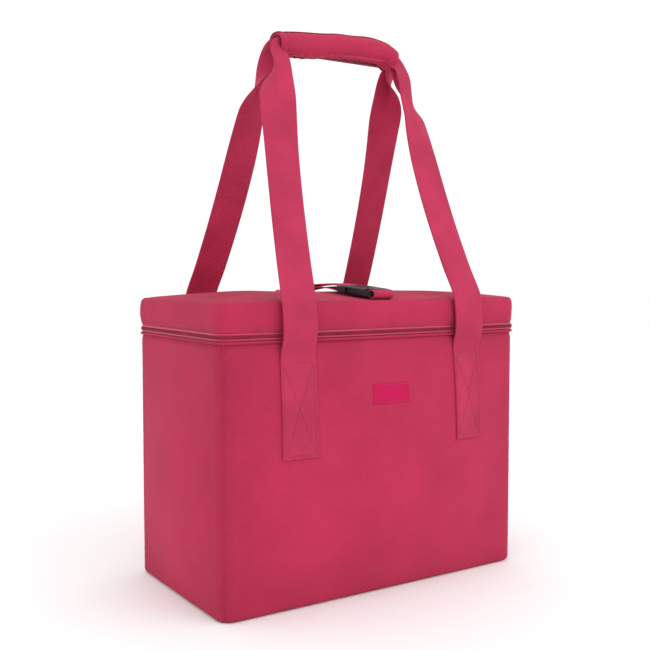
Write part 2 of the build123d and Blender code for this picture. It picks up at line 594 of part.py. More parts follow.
def strap_path():
    """Middle line of the strap, seen from the side: sewn end, slack, turn round the bar, free tail."""
    frame = buckle_frame()
    bar = strap_bar_y()
    angles = [radians(angle) for angle in range(270, 80, -TURN_STEP)]
    run = [(BAR_RUN, -TAIL_RISE)]
    run += [(TAIL_RISE * cos(angle), TAIL_RISE * sin(angle)) for angle in angles]
    run.append((TAIL_RUN, TAIL_RISE + TAIL_LIFT))
    turn = [frame.from_local_coords((0, bar + y, z)) for y, z in run]
    back = DEPTH / 2 - SEWN_MARGIN
    front_of_seam = back - SEWN_LENGTH
    lift = LAYER_GAP + STRAP / 2
    slack = front_of_seam - turn[1].Y
    sewn = [back - SEWN_LENGTH * share for share in (0, 0.33, 0.67, 1)]
    points = [(y, lid_surface(y) + lift) for y in sewn]
    for share, rise in SLACK_RISES:
        y = front_of_seam - slack * share
        points.append((y, lid_surface(y) + lift + rise))
    points += [(point.Y, point.Z) for point in turn]
    for share, rise in TAIL_RISES:
        y = front_of_seam - slack * share
        points.append((y, lid_surface(y) + lift + rise))
    points += [(back + y, lid_surface(back) + rise) for y, rise in TAIL_CURL]
    return points


def strap_webbing():
    """The strap from the back of the lid to the female half, and its free tail."""
    line = Spline(*strap_path())
    ribbon = trace(line, STRAP)
    place = Plane(origin=(-STRAP_WIDTH / 2, 0, 0), x_dir=(0, 1, 0), z_dir=(1, 0, 0))
    return place * extrude(ribbon, STRAP_WIDTH)


def buckle_pieces():
    """Loop, both halves of the buckle and the strap."""
    frame = buckle_frame()
    return {
        "buckle_loop": frame * webbing_loop(),
        "buckle_male": frame * male_half(),
        "buckle_female": frame * female_half(),
        "lid_strap": strap_webbing(),
    }


def main():
    os.makedirs("parts", exist_ok=True)
    pieces = {}
    for group in (body_pieces, zip_pieces, lid_pieces, handle_pieces, buckle_pieces):
        pieces.update(group())
    for name, shape in pieces.items():
        export_step(shape, f"parts/{name}.step")


main()
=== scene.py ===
import bpy
import numpy as np
from bpy.props import FloatProperty, FloatVectorProperty, IntProperty, PointerProperty
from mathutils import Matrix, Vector


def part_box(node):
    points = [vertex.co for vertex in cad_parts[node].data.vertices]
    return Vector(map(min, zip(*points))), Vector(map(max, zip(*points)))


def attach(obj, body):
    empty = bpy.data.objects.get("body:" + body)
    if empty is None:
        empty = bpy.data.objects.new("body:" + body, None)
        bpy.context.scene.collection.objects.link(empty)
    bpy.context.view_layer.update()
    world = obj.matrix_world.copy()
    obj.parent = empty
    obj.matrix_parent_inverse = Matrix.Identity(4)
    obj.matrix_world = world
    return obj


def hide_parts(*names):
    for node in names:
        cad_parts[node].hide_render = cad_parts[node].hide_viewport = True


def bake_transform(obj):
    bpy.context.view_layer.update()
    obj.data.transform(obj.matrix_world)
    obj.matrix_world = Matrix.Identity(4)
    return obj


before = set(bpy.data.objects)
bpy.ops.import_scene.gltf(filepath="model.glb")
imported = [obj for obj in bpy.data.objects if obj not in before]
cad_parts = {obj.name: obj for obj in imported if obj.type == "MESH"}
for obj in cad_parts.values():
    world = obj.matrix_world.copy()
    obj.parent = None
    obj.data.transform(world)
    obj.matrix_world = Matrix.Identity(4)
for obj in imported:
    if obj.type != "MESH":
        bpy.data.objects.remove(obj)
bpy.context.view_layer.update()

bl_info = {
    "name": "Insulated tote bag",
    "version": (1, 0, 0),
    "blender": (4, 5, 0),
    "location": "View3D > Sidebar > Tote",
    "description": "Covers, webbing, zip, grip and lining of an insulated tote with a hinged lid",
    "category": "Add Mesh",
}

# ---- Places read from the model, in metres
WALL_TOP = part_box("front_panel")[1][2]
SEAM_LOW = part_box("lid_skirt")[0]
PIPING_LOW, PIPING_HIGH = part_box("mouth_piping")
LOWER_COIL_LOW, LOWER_COIL_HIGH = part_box("lower_zip_coil")
UPPER_COIL_LOW, UPPER_COIL_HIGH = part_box("upper_zip_coil")
LABEL_LOW, LABEL_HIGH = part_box("label_patch")
LINER_LOW, LINER_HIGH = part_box("liner")
BINDING_LOW, BINDING_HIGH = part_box("mouth_binding")
LID_LINER_LOW, LID_LINER_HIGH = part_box("lid_liner")
LID_BINDING_LOW, LID_BINDING_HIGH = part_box("lid_binding")
STRAP_END_LOW, STRAP_END_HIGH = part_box("front_strap_ends")
GRIP_LOW, GRIP_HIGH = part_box("grip_cover")
LOOP_LOW, LOOP_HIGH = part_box("buckle_loop")

# ---- Plan of the bag
WIDTH = 0.378
DEPTH = 0.203
CORNER = 0.018
LEAST_CORNER = 0.0005
FRONT_BOW = 0.018
SIDE_BOW = 0.010
MOUTH_BOW = 0.004
LID_EDGE = 0.3052
CROWN_RISE = 0.0075
CROWN_RUN = DEPTH / 2 - 0.010
BOW_SHARPNESS = 1.1
ZIP_END = DEPTH / 2 - 0.014
HINGE_Y = DEPTH / 2 + MOUTH_BOW + 0.0005
INNERMOST = DEPTH / 2 - 0.0002
HINGE_HEM = 0.0006
SIDES = {"front": 0, "right": 1, "back": 2, "left": 3}


class ToteColours(bpy.types.PropertyGroup):
    """Colours of the cloths, webbing and hard parts."""

    fabric: FloatVectorProperty(
        name="Fabric", description="Outer fabric of the bag and the lid",
        subtype="COLOR", size=3, min=0, max=1, default=(0.500, 0.030, 0.086))
    webbing: FloatVectorProperty(
        name="Webbing", description="Webbing of the handles and the strap",
        subtype="COLOR", size=3, min=0, max=1, default=(0.500, 0.034, 0.094))
    tape: FloatVectorProperty(
        name="Zip tape", description="Tapes and coil of the zip",
        subtype="COLOR", size=3, min=0, max=1, default=(0.560, 0.030, 0.090))
    thread: FloatVectorProperty(
        name="Thread", description="Sewing thread",
        subtype="COLOR", size=3, min=0, max=1, default=(0.400, 0.022, 0.062))
    label: FloatVectorProperty(
        name="Label", description="Blank woven label on the front",
        subtype="COLOR", size=3, min=0, max=1, default=(0.560, 0.006, 0.086))
    plastic: FloatVectorProperty(
        name="Plastic", description="Moulded buckle",
        subtype="COLOR", size=3, min=0, max=1, default=(0.012, 0.012, 0.014))
    lining: FloatVectorProperty(
        name="Lining", description="Wipe-clean lining",
        subtype="COLOR", size=3, min=0, max=1, default=(0.62, 0.64, 0.67))
    slider: FloatVectorProperty(
        name="Slider", description="Painted zip slider and its pull",
        subtype="COLOR", size=3, min=0, max=1, default=(0.500, 0.030, 0.086))


class ToteSizes(bpy.types.PropertyGroup):
    """Sizes of the cloth work."""

    cell: FloatProperty(
        name="Cell", description="Size of a cell of the cloth meshes",
        subtype="DISTANCE", unit="LENGTH", default=0.0035, min=0.002, max=0.02)
    fabric: FloatProperty(
        name="Fabric", description="Thickness of the outer fabric",
        subtype="DISTANCE", unit="LENGTH", default=0.0010, min=0.0003, max=0.003)
    wrinkle: FloatProperty(
        name="Wrinkle", description="Depth of the soft waves in the padded panels",
        subtype="DISTANCE", unit="LENGTH", default=0.0011, min=0, max=0.004)
    seam: FloatProperty(
        name="Seam", description="How deep a seam sinks between two padded panels",
        subtype="DISTANCE", unit="LENGTH", default=0.0013, min=0, max=0.004)
    webbing_width: FloatProperty(
        name="Webbing width", description="Width of the handles' webbing",
        subtype="DISTANCE", unit="LENGTH", default=0.038, min=0.02, max=0.05)
    webbing: FloatProperty(
        name="Webbing", description="Thickness of the webbing",
        subtype="DISTANCE", unit="LENGTH", default=0.0018, min=0.001, max=0.003)
    strap_width: FloatProperty(
        name="Strap width", description="Width of the strap on the lid",
        subtype="DISTANCE", unit="LENGTH", default=0.025, min=0.015, max=0.04)
    stitch: FloatProperty(
        name="Stitch", description="Length of one stitch",
        subtype="DISTANCE", unit="LENGTH", default=0.0024, min=0.001, max=0.006)
    stitch_gap: FloatProperty(
        name="Stitch gap", description="Space between two stitches",
        subtype="DISTANCE", unit="LENGTH", default=0.0012, min=0.0005, max=0.004)
    thread: FloatProperty(
        name="Thread", description="Radius of the sewing thread",
        subtype="DISTANCE", unit="LENGTH", default=0.00032, min=0.0001, max=0.001)
    tooth_pitch: FloatProperty(
        name="Tooth pitch", description="Distance from one coil turn to the next",
        subtype="DISTANCE", unit="LENGTH", default=0.0023, min=0.001, max=0.006)
    seed: IntProperty(
        name="Seed", description="Start of the pattern of soft waves", default=7, min=0, max=1000)


class ToteStage(bpy.types.PropertyGroup):
    """Camera and lights."""

    camera_place: FloatVectorProperty(
        name="Camera place", description="Where the camera stands",
        subtype="TRANSLATION", unit="LENGTH", size=3, default=(-0.5745, -0.8692, 0.3334))
    camera_yaw: FloatProperty(
        name="Camera yaw", description="Turn of the camera from the bag's front to its left",
        subtype="ANGLE", unit="ROTATION", default=-0.5784)
    camera_pitch: FloatProperty(
        name="Camera pitch", description="Tilt of the camera, down from level",
        subtype="ANGLE", unit="ROTATION", default=0.0564)
    lens: FloatProperty(
        name="Lens", description="Focal length", subtype="DISTANCE_CAMERA",
        unit="CAMERA", default=51.2, min=10, max=200)
    key_power: FloatProperty(
        name="Key light", description="Power of the large soft light",
        subtype="POWER", unit="POWER", default=9.0, min=0)
    fill_power: FloatProperty(
        name="Fill light", description="Power of the light on the left side",
        subtype="POWER", unit="POWER", default=1.5, min=0)
    world_strength: FloatProperty(
        name="Surroundings", description="Brightness of the white surroundings", default=1.06, min=0)


# ---- Cloth mesh helpers
def deselect():
    bpy.ops.object.select_all(action="DESELECT")


def take(piece):
    """Makes a piece the only one selected."""
    deselect()
    piece.select_set(True)
    bpy.context.view_layer.objects.active = piece


def ripple(points, length, seed):
    """Soft waves through space, about one high, with no direction preferred."""
    chance = np.random.default_rng(seed)
    waves = 7
    total = np.zeros(len(points))
    for _ in range(waves):
        way = chance.normal(size=3)
        way /= np.linalg.norm(way)
        phase = chance.uniform(0, 2 * np.pi)
        total += np.sin(points @ way * 2 * np.pi / (length * chance.uniform(0.7, 1.5)) + phase)
    return total / waves ** 0.5


def ease(low, high, values):
    """From 0 at low to 1 at high, smoothly."""
    share = np.clip((values - low) / (high - low), 0, 1)
    return share * share * (3 - 2 * share)


def grid_piece(name, across, up, place, measure):
    """A cloth modelled from a grid. place gives points from shares across and up, measure its size."""
    deselect()
    bpy.ops.mesh.primitive_grid_add(x_subdivisions=across, y_subdivisions=up, size=2)
    piece = bpy.context.object
    piece.name = piece.data.name = name
    mesh = piece.data
    corners = np.empty(len(mesh.vertices) * 3)
    mesh.vertices.foreach_get("co", corners)
    shares = np.clip((corners.reshape(-1, 3)[:, :2] + 1) / 2, 0, 1)
    points = place(shares[:, 0], shares[:, 1])
    mesh.vertices.foreach_set("co", np.ascontiguousarray(points, dtype=float).ravel())
    of_corner = np.empty(len(mesh.loops), dtype=int)
    mesh.loops.foreach_get("vertex_index", of_corner)
    laid = shares[of_corner] * np.array(measure)
    mesh.uv_layers[0].data.foreach_set("uv", np.ascontiguousarray(laid).ravel())
    mesh.update()
    return piece


def close_seams(piece, gap=1e-5):
    """Joins the edges of a cloth that meet."""
    take(piece)
    bpy.ops.object.mode_set(mode="EDIT")
    bpy.ops.mesh.select_all(action="SELECT")
    bpy.ops.mesh.remove_doubles(threshold=gap)
    bpy.ops.object.mode_set(mode="OBJECT")


def face_out(piece, inside=False):
    """Turns the faces of a closed shape outwards."""
    take(piece)
    bpy.ops.object.mode_set(mode="EDIT")
    bpy.ops.mesh.select_all(action="SELECT")
    bpy.ops.mesh.normals_make_consistent(inside=inside)
    bpy.ops.object.mode_set(mode="OBJECT")


def turn_over(piece):
    """Turns every face the other way."""
    take(piece)
    bpy.ops.object.mode_set(mode="EDIT")
    bpy.ops.mesh.select_all(action="SELECT")
    bpy.ops.mesh.flip_normals()
    bpy.ops.object.mode_set(mode="OBJECT")


def thicken(piece, thickness, offset=-1.0):
    """Gives a cloth its thickness. An offset of -1 puts it behind the faces."""
    take(piece)
    bpy.ops.object.modifier_add(type="SOLIDIFY")
    wall = piece.modifiers[-1]
    wall.thickness = thickness
    wall.offset = offset
    wall.use_even_offset = True
    bpy.ops.object.modifier_apply(modifier=wall.name)


def round_edges(piece, width, segments=2):
    """Rolls the sharp edges of a cloth or a moulding."""
    take(piece)
    bpy.ops.object.modifier_add(type="BEVEL")
    roll = piece.modifiers[-1]
    roll.width = width
    roll.segments = segments
    roll.limit_method = "ANGLE"
    roll.angle_limit = np.radians(50)
    bpy.ops.object.modifier_apply(modifier=roll.name)


def smooth(piece, angle=40):
    """Shades a piece smooth, apart from its sharp edges."""
    take(piece)
    bpy.ops.object.shade_smooth_by_angle(angle=np.radians(angle))


def finish_piece(piece, material, body, nodes=(), blend=None):
    """Gives a piece its material and hides the nodes that it stands for. Without a blend it is attached to
    the body that it moves with; with a blend it is only baked in place and moves with no body.
    """
    piece.data.materials.clear()
    piece.data.materials.append(material)
    if blend:
        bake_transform(piece)
    else:
        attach(piece, body)
    if nodes:
        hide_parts(*nodes)
    return piece


# ---- Plan curve
def bow_front(height):
    """How far the front and back stand out at a height."""
    share = np.clip(height / WALL_TOP, 0, 1)
    at_top, at_middle = MOUTH_BOW, FRONT_BOW
    return (4 * at_middle - at_top) * share + (2 * at_top - 4 * at_middle) * share ** 2


def bow_side(height):
    """How far the sides stand out at a height."""
    share = np.clip(height / WALL_TOP, 0, 1)
    return 4 * SIDE_BOW * share * (1 - share)


def plan_point(turn, inset, front_bow, side_bow, height):
    """Points of the bag's plan curve, moved inwards. turn is 0 to 1 on the front, then on the
    right, back and left, from the middle of one corner to the middle of the next."""
    turn = np.mod(turn, 4)
    side = np.minimum(np.floor(turn), 3)
    share = turn - side
    on_front = side % 2 == 0
    half_x, half_y = WIDTH / 2 - inset, DEPTH / 2 - inset
    along = np.where(on_front, half_x, half_y)
    out = np.where(on_front, half_y, half_x)
    least = np.minimum(LEAST_CORNER, np.minimum(along, out))
    radius = np.maximum(np.minimum(CORNER - inset, np.minimum(along, out)), least)
    run = along - radius
    bow = np.where(on_front, front_bow, side_bow)
    arc = 0.8116 * radius
    walk = share * (2 * run + 2 * arc)
    past = np.where(share < 0.5, arc - walk, walk - arc - 2 * run)
    in_corner = past > 0
    bend = np.clip(past / np.maximum(2 * arc, 1e-9), 0, 0.5)
    corner_a = run * (1 - bend) ** 2 + along * (2 * bend * (1 - bend) + bend ** 2)
    corner_o = out * (1 - bend ** 2) + (out - radius) * bend ** 2
    middle = np.clip((walk - arc) / np.maximum(2 * run, 1e-9), 0, 1)
    level = (4 * middle * (1 - middle)) ** BOW_SHARPNESS
    a = np.where(in_corner, np.where(share < 0.5, -corner_a, corner_a), run * (2 * middle - 1))
    o = np.where(in_corner, corner_o, out + bow * level)
    x = np.choose(side.astype(int), [a, o, -a, -o])
    y = np.choose(side.astype(int), [-o, a, o, -a])
    return np.stack([x, y, np.broadcast_to(height, x.shape)], axis=1)


def outward(turn):
    """The level direction out of the bag at a turn."""
    step = 0.002
    ahead = plan_point(turn + step, 0.0, 0.0, 0.0, 0.0)
    behind = plan_point(turn - step, 0.0, 0.0, 0.0, 0.0)
    way = ahead - behind
    normal = np.stack([way[:, 1], -way[:, 0], np.zeros(len(way))], axis=1)
    return normal / np.linalg.norm(normal, axis=1)[:, None]


def turn_at(side, along):
    """The turn at a distance along a side from its middle."""
    half = (WIDTH if side % 2 == 0 else DEPTH) / 2
    run = half - CORNER
    arc = 0.8116 * CORNER
    return side + (along + run + arc) / (2 * run + 2 * arc)


def profile(stations):
    """Turns (inset, height) stations into functions of the share along them."""
    stations = np.array(stations, float)
    steps = np.concatenate([[0], np.cumsum(np.linalg.norm(np.diff(stations, axis=0), axis=1))])
    share = steps / steps[-1]
    return lambda v: (np.interp(v, share, stations[:, 0]), np.interp(v, share, stations[:, 1])), steps[-1]


def wall_point(turn, inset, height):
    """A point of the body's walls, with their bow."""
    return plan_point(turn, inset, bow_front(height), bow_side(height), height)


def lid_point(turn, inset, height):
    """A point of the lid or the mouth. The bow of the mouth fades towards the middle."""
    fade = np.clip(1 - inset / (DEPTH / 2), 0, 1)
    return plan_point(turn, inset, MOUTH_BOW * fade, 0.0, height)


def ring_piece(name, stations, point, across=200, up=None, span=(0, 4), cell=0.003):
    """A cloth that follows the bag's plan curve, with its section given as stations."""
    section, length = profile(stations)
    rows = up or max(2, int(length / cell))
    around = (span[1] - span[0]) / 4 * 2 * (WIDTH + DEPTH)

    def place(u, v):
        inset, height = section(v)
        return point(span[0] + u * (span[1] - span[0]), inset, height)

    piece = grid_piece(name, across, rows, place, (around, length))
    if span[1] - span[0] == 4:
        close_seams(piece)
    return piece


# ---- Paths
def smooth_path(stations, count):
    """Evenly spaced rows along a smooth curve through the stations' first three columns. Further
    columns are carried along."""
    stations = np.array(stations, float)
    chords = np.sqrt(np.linalg.norm(np.diff(stations[:, :3], axis=0), axis=1))
    knots = np.concatenate([[0], np.cumsum(chords)])
    slopes = np.gradient(stations, knots, axis=0)
    dense = np.linspace(0, knots[-1], 40 * len(stations))
    place = np.clip(np.searchsorted(knots, dense, side="right") - 1, 0, len(knots) - 2)
    width = (knots[place + 1] - knots[place])[:, None]
    t = (dense - knots[place])[:, None] / width
    rows = (
        (2 * t ** 3 - 3 * t ** 2 + 1) * stations[place]
        + (t ** 3 - 2 * t ** 2 + t) * width * slopes[place]
        + (3 * t ** 2 - 2 * t ** 3) * stations[place + 1]
        + (t ** 3 - t ** 2) * width * slopes[place + 1]
    )
    steps = np.concatenate([[0], np.cumsum(np.linalg.norm(np.diff(rows[:, :3], axis=0), axis=1))])
    even = np.linspace(0, steps[-1], count)
    return np.stack([np.interp(even, steps, column) for column in rows.T], axis=1), steps[-1]


def unit(vectors):
    return vectors / np.maximum(np.linalg.norm(vectors, axis=1), 1e-12)[:, None]


def path_frames(points, across):
    """Direction along, across and out of a strip at each point."""
    along = unit(np.gradient(points, axis=0))
    out = unit(np.cross(across, along))
    return along, np.cross(along, out), out


# ---- Repeated small shapes
def small_shape(build):
    """Models a small shape once and returns its points and faces."""
    deselect()
    build()
    shape = bpy.context.object
    points = np.array([corner.co for corner in shape.data.vertices])
    faces = [tuple(face.vertices) for face in shape.data.polygons]
    bpy.data.objects.remove(shape)
    return points, faces


def repeat(name, shape, places, along, out):
    """Copies a small shape to many places into one mesh. The shape's X goes along, its Z out."""
    points, faces = shape
    side = np.cross(out, along)
    turned = (
        places[:, None, :]
        + points[None, :, 0, None] * along[:, None, :]
        + points[None, :, 1, None] * side[:, None, :]
        + points[None, :, 2, None] * out[:, None, :]
    )
    mesh = bpy.data.meshes.new(name)
    count = len(points)
    every = [tuple(corner + copy * count for corner in face) for copy in range(len(places)) for face in faces]
    mesh.from_pydata(turned.reshape(-1, 3), [], every)
    mesh.polygons.foreach_set("use_smooth", [True] * len(every))
    mesh.update()
    piece = bpy.data.objects.new(name, mesh)
    bpy.context.collection.objects.link(piece)
    return piece


def stitch_shape(length, radius):
    """One stitch: a short thread whose ends dive into the cloth."""
    def build():
        bpy.ops.mesh.primitive_uv_sphere_add(segments=6, ring_count=5, radius=1)
        bpy.ops.object.mode_set(mode="EDIT")
        bpy.ops.mesh.select_all(action="SELECT")
        bpy.ops.transform.rotate(value=np.pi / 2, orient_axis="Y", center_override=(0, 0, 0))
        bpy.ops.transform.resize(value=(length / 2, radius * 1.25, radius))
        bpy.ops.object.mode_set(mode="OBJECT")
    return small_shape(build)


def stitch_row(name, points, out, sizes, material, body, sink=0.3):
    """A row of stitches along points on a cloth, whose outward directions are given."""
    steps = np.concatenate([[0], np.cumsum(np.linalg.norm(np.diff(points, axis=0), axis=1))])
    pitch = sizes.stitch + sizes.stitch_gap
    count = max(2, int(steps[-1] / pitch))
    even = (np.arange(count) + 0.5) * steps[-1] / count
    at = np.stack([np.interp(even, steps, column) for column in points.T], axis=1)
    slopes = np.gradient(points, steps, axis=0)
    way = np.stack([np.interp(even, steps, column) for column in slopes.T], axis=1)
    normal = unit(np.stack([np.interp(even, steps, column) for column in out.T], axis=1))
    along = unit(way - normal * np.sum(way * normal, axis=1)[:, None])
    shape = stitch_shape(sizes.stitch, sizes.thread)
    row = repeat(name, shape, at + normal * sizes.thread * (1 - sink) , along, normal)
    return finish_piece(row, material, body)


# ---- Materials
FINISHES = {}


class Nodes:
    """A short hand for building a node tree."""

    def __init__(self, name):
        self.material = bpy.data.materials.new(name)
        self.material.use_nodes = True
        self.tree = self.material.node_tree
        self.shader = self.tree.nodes["Principled BSDF"]

    def add(self, kind, **settings):
        node = self.tree.nodes.new(kind)
        for key, value in settings.items():
            setattr(node, key, value)
        return node

    def link(self, out, into):
        self.tree.links.new(out, into)

    def coordinates(self, layer, scale=(1, 1, 1)):
        """Object coordinates or the cloth's own layout, scaled."""
        source = self.add("ShaderNodeTexCoord")
        place = self.add("ShaderNodeMapping")
        place.inputs["Scale"].default_value = scale
        self.link(source.outputs[layer], place.inputs["Vector"])
        return place.outputs["Vector"]

    def noise(self, vector, scale, detail=3.0, roughness=0.55):
        node = self.add("ShaderNodeTexNoise")
        node.inputs["Scale"].default_value = scale
        node.inputs["Detail"].default_value = detail
        node.inputs["Roughness"].default_value = roughness
        self.link(vector, node.inputs["Vector"])
        return node.outputs["Fac"]

    def bands(self, vector, period, direction):
        """Even threads across one direction."""
        node = self.add("ShaderNodeTexWave", wave_type="BANDS", bands_direction=direction)
        node.inputs["Scale"].default_value = 2 * np.pi / (20 * period)
        node.inputs["Distortion"].default_value = 0.0
        self.link(vector, node.inputs["Vector"])
        return node.outputs["Fac"]

    def math(self, operation, first, second):
        node = self.add("ShaderNodeMath", operation=operation)
        for value, socket in ((first, node.inputs[0]), (second, node.inputs[1])):
            if isinstance(value, (int, float)):
                socket.default_value = value
            else:
                self.link(value, socket)
        return node.outputs[0]

    def ramp(self, fac, low, high, colours):
        node = self.add("ShaderNodeValToRGB")
        node.color_ramp.elements[0].position = low
        node.color_ramp.elements[1].position = high
        for element, colour in zip(node.color_ramp.elements, colours):
            element.color = (*colour, 1)
        self.link(fac, node.inputs["Fac"])
        return node.outputs["Color"]

    def bump(self, height, depth, strength=1.0, normal=None):
        node = self.add("ShaderNodeBump")
        node.inputs["Distance"].default_value = depth
        node.inputs["Strength"].default_value = strength
        self.link(height, node.inputs["Height"])
        if normal is not None:
            self.link(normal, node.inputs["Normal"])
        return node.outputs["Normal"]

    def finish(self, colour, normal, roughness, **shader):
        if colour is not None:
            self.link(colour, self.shader.inputs["Base Color"])
        if normal is not None:
            self.link(normal, self.shader.inputs["Normal"])
        if isinstance(roughness, (int, float)):
            self.shader.inputs["Roughness"].default_value = roughness
        else:
            self.link(roughness, self.shader.inputs["Roughness"])
        for key, value in shader.items():
            self.shader.inputs[key.replace("_", " ").title().replace("Ior", "IOR")].default_value = value
        return self.material


def shade_of(colour, factor):
    """A darker or lighter shade of a colour."""
    return tuple(min(1.0, part * factor) for part in colour)


def cloth_finish(name, colour, thread=0.0009, depth=0.00022, layer="UV", spread=0.12, sheen=0.04):
    """Plain-woven polyester: threads both ways, uneven dye, and a soft sheen."""
    nodes = Nodes(name)
    laid = nodes.coordinates(layer)
    solid = nodes.coordinates("Object")
    warp = nodes.bands(laid, thread, "X")
    weft = nodes.bands(laid, thread, "Y")
    weave = nodes.math("MAXIMUM", warp, weft)
    slub = nodes.noise(laid, 1 / (thread * 3), 2.0)
    height = nodes.math("ADD", weave, nodes.math("MULTIPLY", slub, 0.9))
    cloud = nodes.noise(solid, 14.0, 3.0)
    grain = nodes.noise(solid, 900.0, 2.0)
    tone = nodes.math("ADD", nodes.math("MULTIPLY", cloud, 0.55), nodes.math("MULTIPLY", grain, 0.45))
    tint = nodes.ramp(tone, 0.36, 0.64, (shade_of(colour, 1 - spread), shade_of(colour, 1 + spread)))
    # Painted shade: the colour is darkened in the gaps between the threads, where shade would fall.
    gap_shade = nodes.add("ShaderNodeMix", data_type="RGBA", blend_type="MULTIPLY")
    gap_shade.inputs["Factor"].default_value = 0.35
    nodes.link(tint, gap_shade.inputs["A"])
    nodes.link(nodes.ramp(weave, 0.2, 0.9, ((0.62,) * 3, (1.0,) * 3)), gap_shade.inputs["B"])
    rough = nodes.math("ADD", nodes.math("MULTIPLY", grain, 0.18), 0.66)
    return nodes.finish(
        gap_shade.outputs["Result"], nodes.bump(height, depth), rough,
        sheen_weight=sheen, sheen_roughness=0.45, specular_ior_level=0.10)


def webbing_finish(name, colour, layer="UV"):
    """Ribbed webbing: fine ribs across and warp threads along."""
    nodes = Nodes(name)
    laid = nodes.coordinates(layer)
    solid = nodes.coordinates("Object")
    ribs = nodes.bands(laid, 0.00155, "X")
    warp = nodes.bands(laid, 0.0017, "Y")
    basket = nodes.math("MULTIPLY", ribs, warp)
    fuzz = nodes.noise(laid, 1500.0, 2.0)
    height = nodes.math("ADD", nodes.math("ADD", basket, nodes.math("MULTIPLY", ribs, 0.5)),
                        nodes.math("MULTIPLY", fuzz, 0.35))
    cloud = nodes.noise(solid, 22.0, 3.0)
    tone = nodes.math("ADD", nodes.math("MULTIPLY", cloud, 0.6), nodes.math("MULTIPLY", fuzz, 0.4))
    tint = nodes.ramp(tone, 0.36, 0.64, (shade_of(colour, 0.86), shade_of(colour, 1.14)))
    # Painted shade: the colour is darkened in the grooves between the ribs and the warp threads, where shade
    # would fall.
    gap_shade = nodes.add("ShaderNodeMix", data_type="RGBA", blend_type="MULTIPLY")
    gap_shade.inputs["Factor"].default_value = 0.28
    nodes.link(tint, gap_shade.inputs["A"])
    nodes.link(nodes.ramp(basket, 0.0, 0.6, ((0.55,) * 3, (1.0,) * 3)), gap_shade.inputs["B"])
    rough = nodes.math("ADD", nodes.math("MULTIPLY", fuzz, 0.2), 0.58)
    return nodes.finish(
        gap_shade.outputs["Result"], nodes.bump(height, 0.00018), rough,
        sheen_weight=0.04, sheen_roughness=0.4, specular_ior_level=0.12)


def tape_finish(name, colour, layer="UV"):
    """Zip tape: a tight twill with a slight shine."""
    nodes = Nodes(name)
    laid = nodes.coordinates(layer)
    diagonal = nodes.bands(laid, 0.0008, "DIAGONAL")
    fuzz = nodes.noise(laid, 1200.0, 2.0)
    tone = nodes.math("ADD", nodes.math("MULTIPLY", diagonal, 0.5), nodes.math("MULTIPLY", fuzz, 0.5))
    tint = nodes.ramp(tone, 0.25, 0.75, (shade_of(colour, 0.8), shade_of(colour, 1.12)))
    return nodes.finish(
        tint, nodes.bump(diagonal, 0.00015), nodes.math("ADD", nodes.math("MULTIPLY", fuzz, 0.2), 0.48),
        sheen_weight=0.25, specular_ior_level=0.4)


def thread_finish(name, colour):
    """Twisted sewing thread."""
    nodes = Nodes(name)
    twist = nodes.bands(nodes.coordinates("Object"), 0.0004, "DIAGONAL")
    tint = nodes.ramp(twist, 0.2, 0.9, (shade_of(colour, 0.7), shade_of(colour, 1.15)))
    return nodes.finish(tint, nodes.bump(twist, 0.0001), 0.5, sheen_weight=0.2)


def plastic_finish(name, colour, rough=0.38):
    """Moulded nylon with a fine spark-eroded grain and scuffs."""
    nodes = Nodes(name)
    solid = nodes.coordinates("Object")
    grain = nodes.noise(solid, 2600.0, 2.0)
    scuffs = nodes.noise(solid, 160.0, 6.0, 0.7)
    tint = nodes.ramp(scuffs, 0.35, 0.75, (shade_of(colour, 0.8), shade_of(colour, 1.9)))
    shine = nodes.math("ADD", nodes.math("MULTIPLY", scuffs, 0.3), rough - 0.12)
    return nodes.finish(tint, nodes.bump(grain, 0.00008, 0.7), shine, specular_ior_level=0.22)


def painted_metal_finish(name, colour):
    """Die-cast zinc under coloured lacquer, rubbed where it is handled."""
    nodes = Nodes(name)
    solid = nodes.coordinates("Object")
    wear = nodes.noise(solid, 420.0, 5.0, 0.7)
    tint = nodes.ramp(wear, 0.5, 0.8, (colour, shade_of(colour, 1.5)))
    return nodes.finish(
        tint, nodes.bump(nodes.noise(solid, 900.0, 2.0), 0.00005, 0.6),
        nodes.math("ADD", nodes.math("MULTIPLY", wear, 0.3), 0.2),
        metallic=0.35, coat_weight=0.4, coat_roughness=0.2)


def film_finish(name, colour):
    """Wipe-clean lining film with a heat-rolled crinkle and a soft metallic shine."""
    nodes = Nodes(name)
    solid = nodes.coordinates("Object")
    crinkle = nodes.noise(solid, 55.0, 5.0, 0.62)
    pores = nodes.add("ShaderNodeTexVoronoi", feature="F1")
    pores.inputs["Scale"].default_value = 420.0
    nodes.link(solid, pores.inputs["Vector"])
    height = nodes.math("ADD", crinkle, nodes.math("MULTIPLY", pores.outputs["Distance"], 0.35))
    tint = nodes.ramp(crinkle, 0.3, 0.7, (shade_of(colour, 0.82), shade_of(colour, 1.1)))
    return nodes.finish(
        tint, nodes.bump(height, 0.0012, 0.8), nodes.math("ADD", nodes.math("MULTIPLY", crinkle, 0.25), 0.2),
        metallic=0.35, specular_ior_level=0.5)


def foam_finish(name, colour):
    """Closed-cell foam with its small open cells at the cut faces."""
    nodes = Nodes(name)
    solid = nodes.coordinates("Object")
    cells = nodes.add("ShaderNodeTexVoronoi", feature="F1")
    cells.inputs["Scale"].default_value = 900.0
    nodes.link(solid, cells.inputs["Vector"])
    tint = nodes.ramp(cells.outputs["Distance"], 0.1, 0.7, (shade_of(colour, 1.05), shade_of(colour, 0.82)))
    return nodes.finish(tint, nodes.bump(cells.outputs["Distance"], 0.0004), 0.85, sheen_weight=0.1)


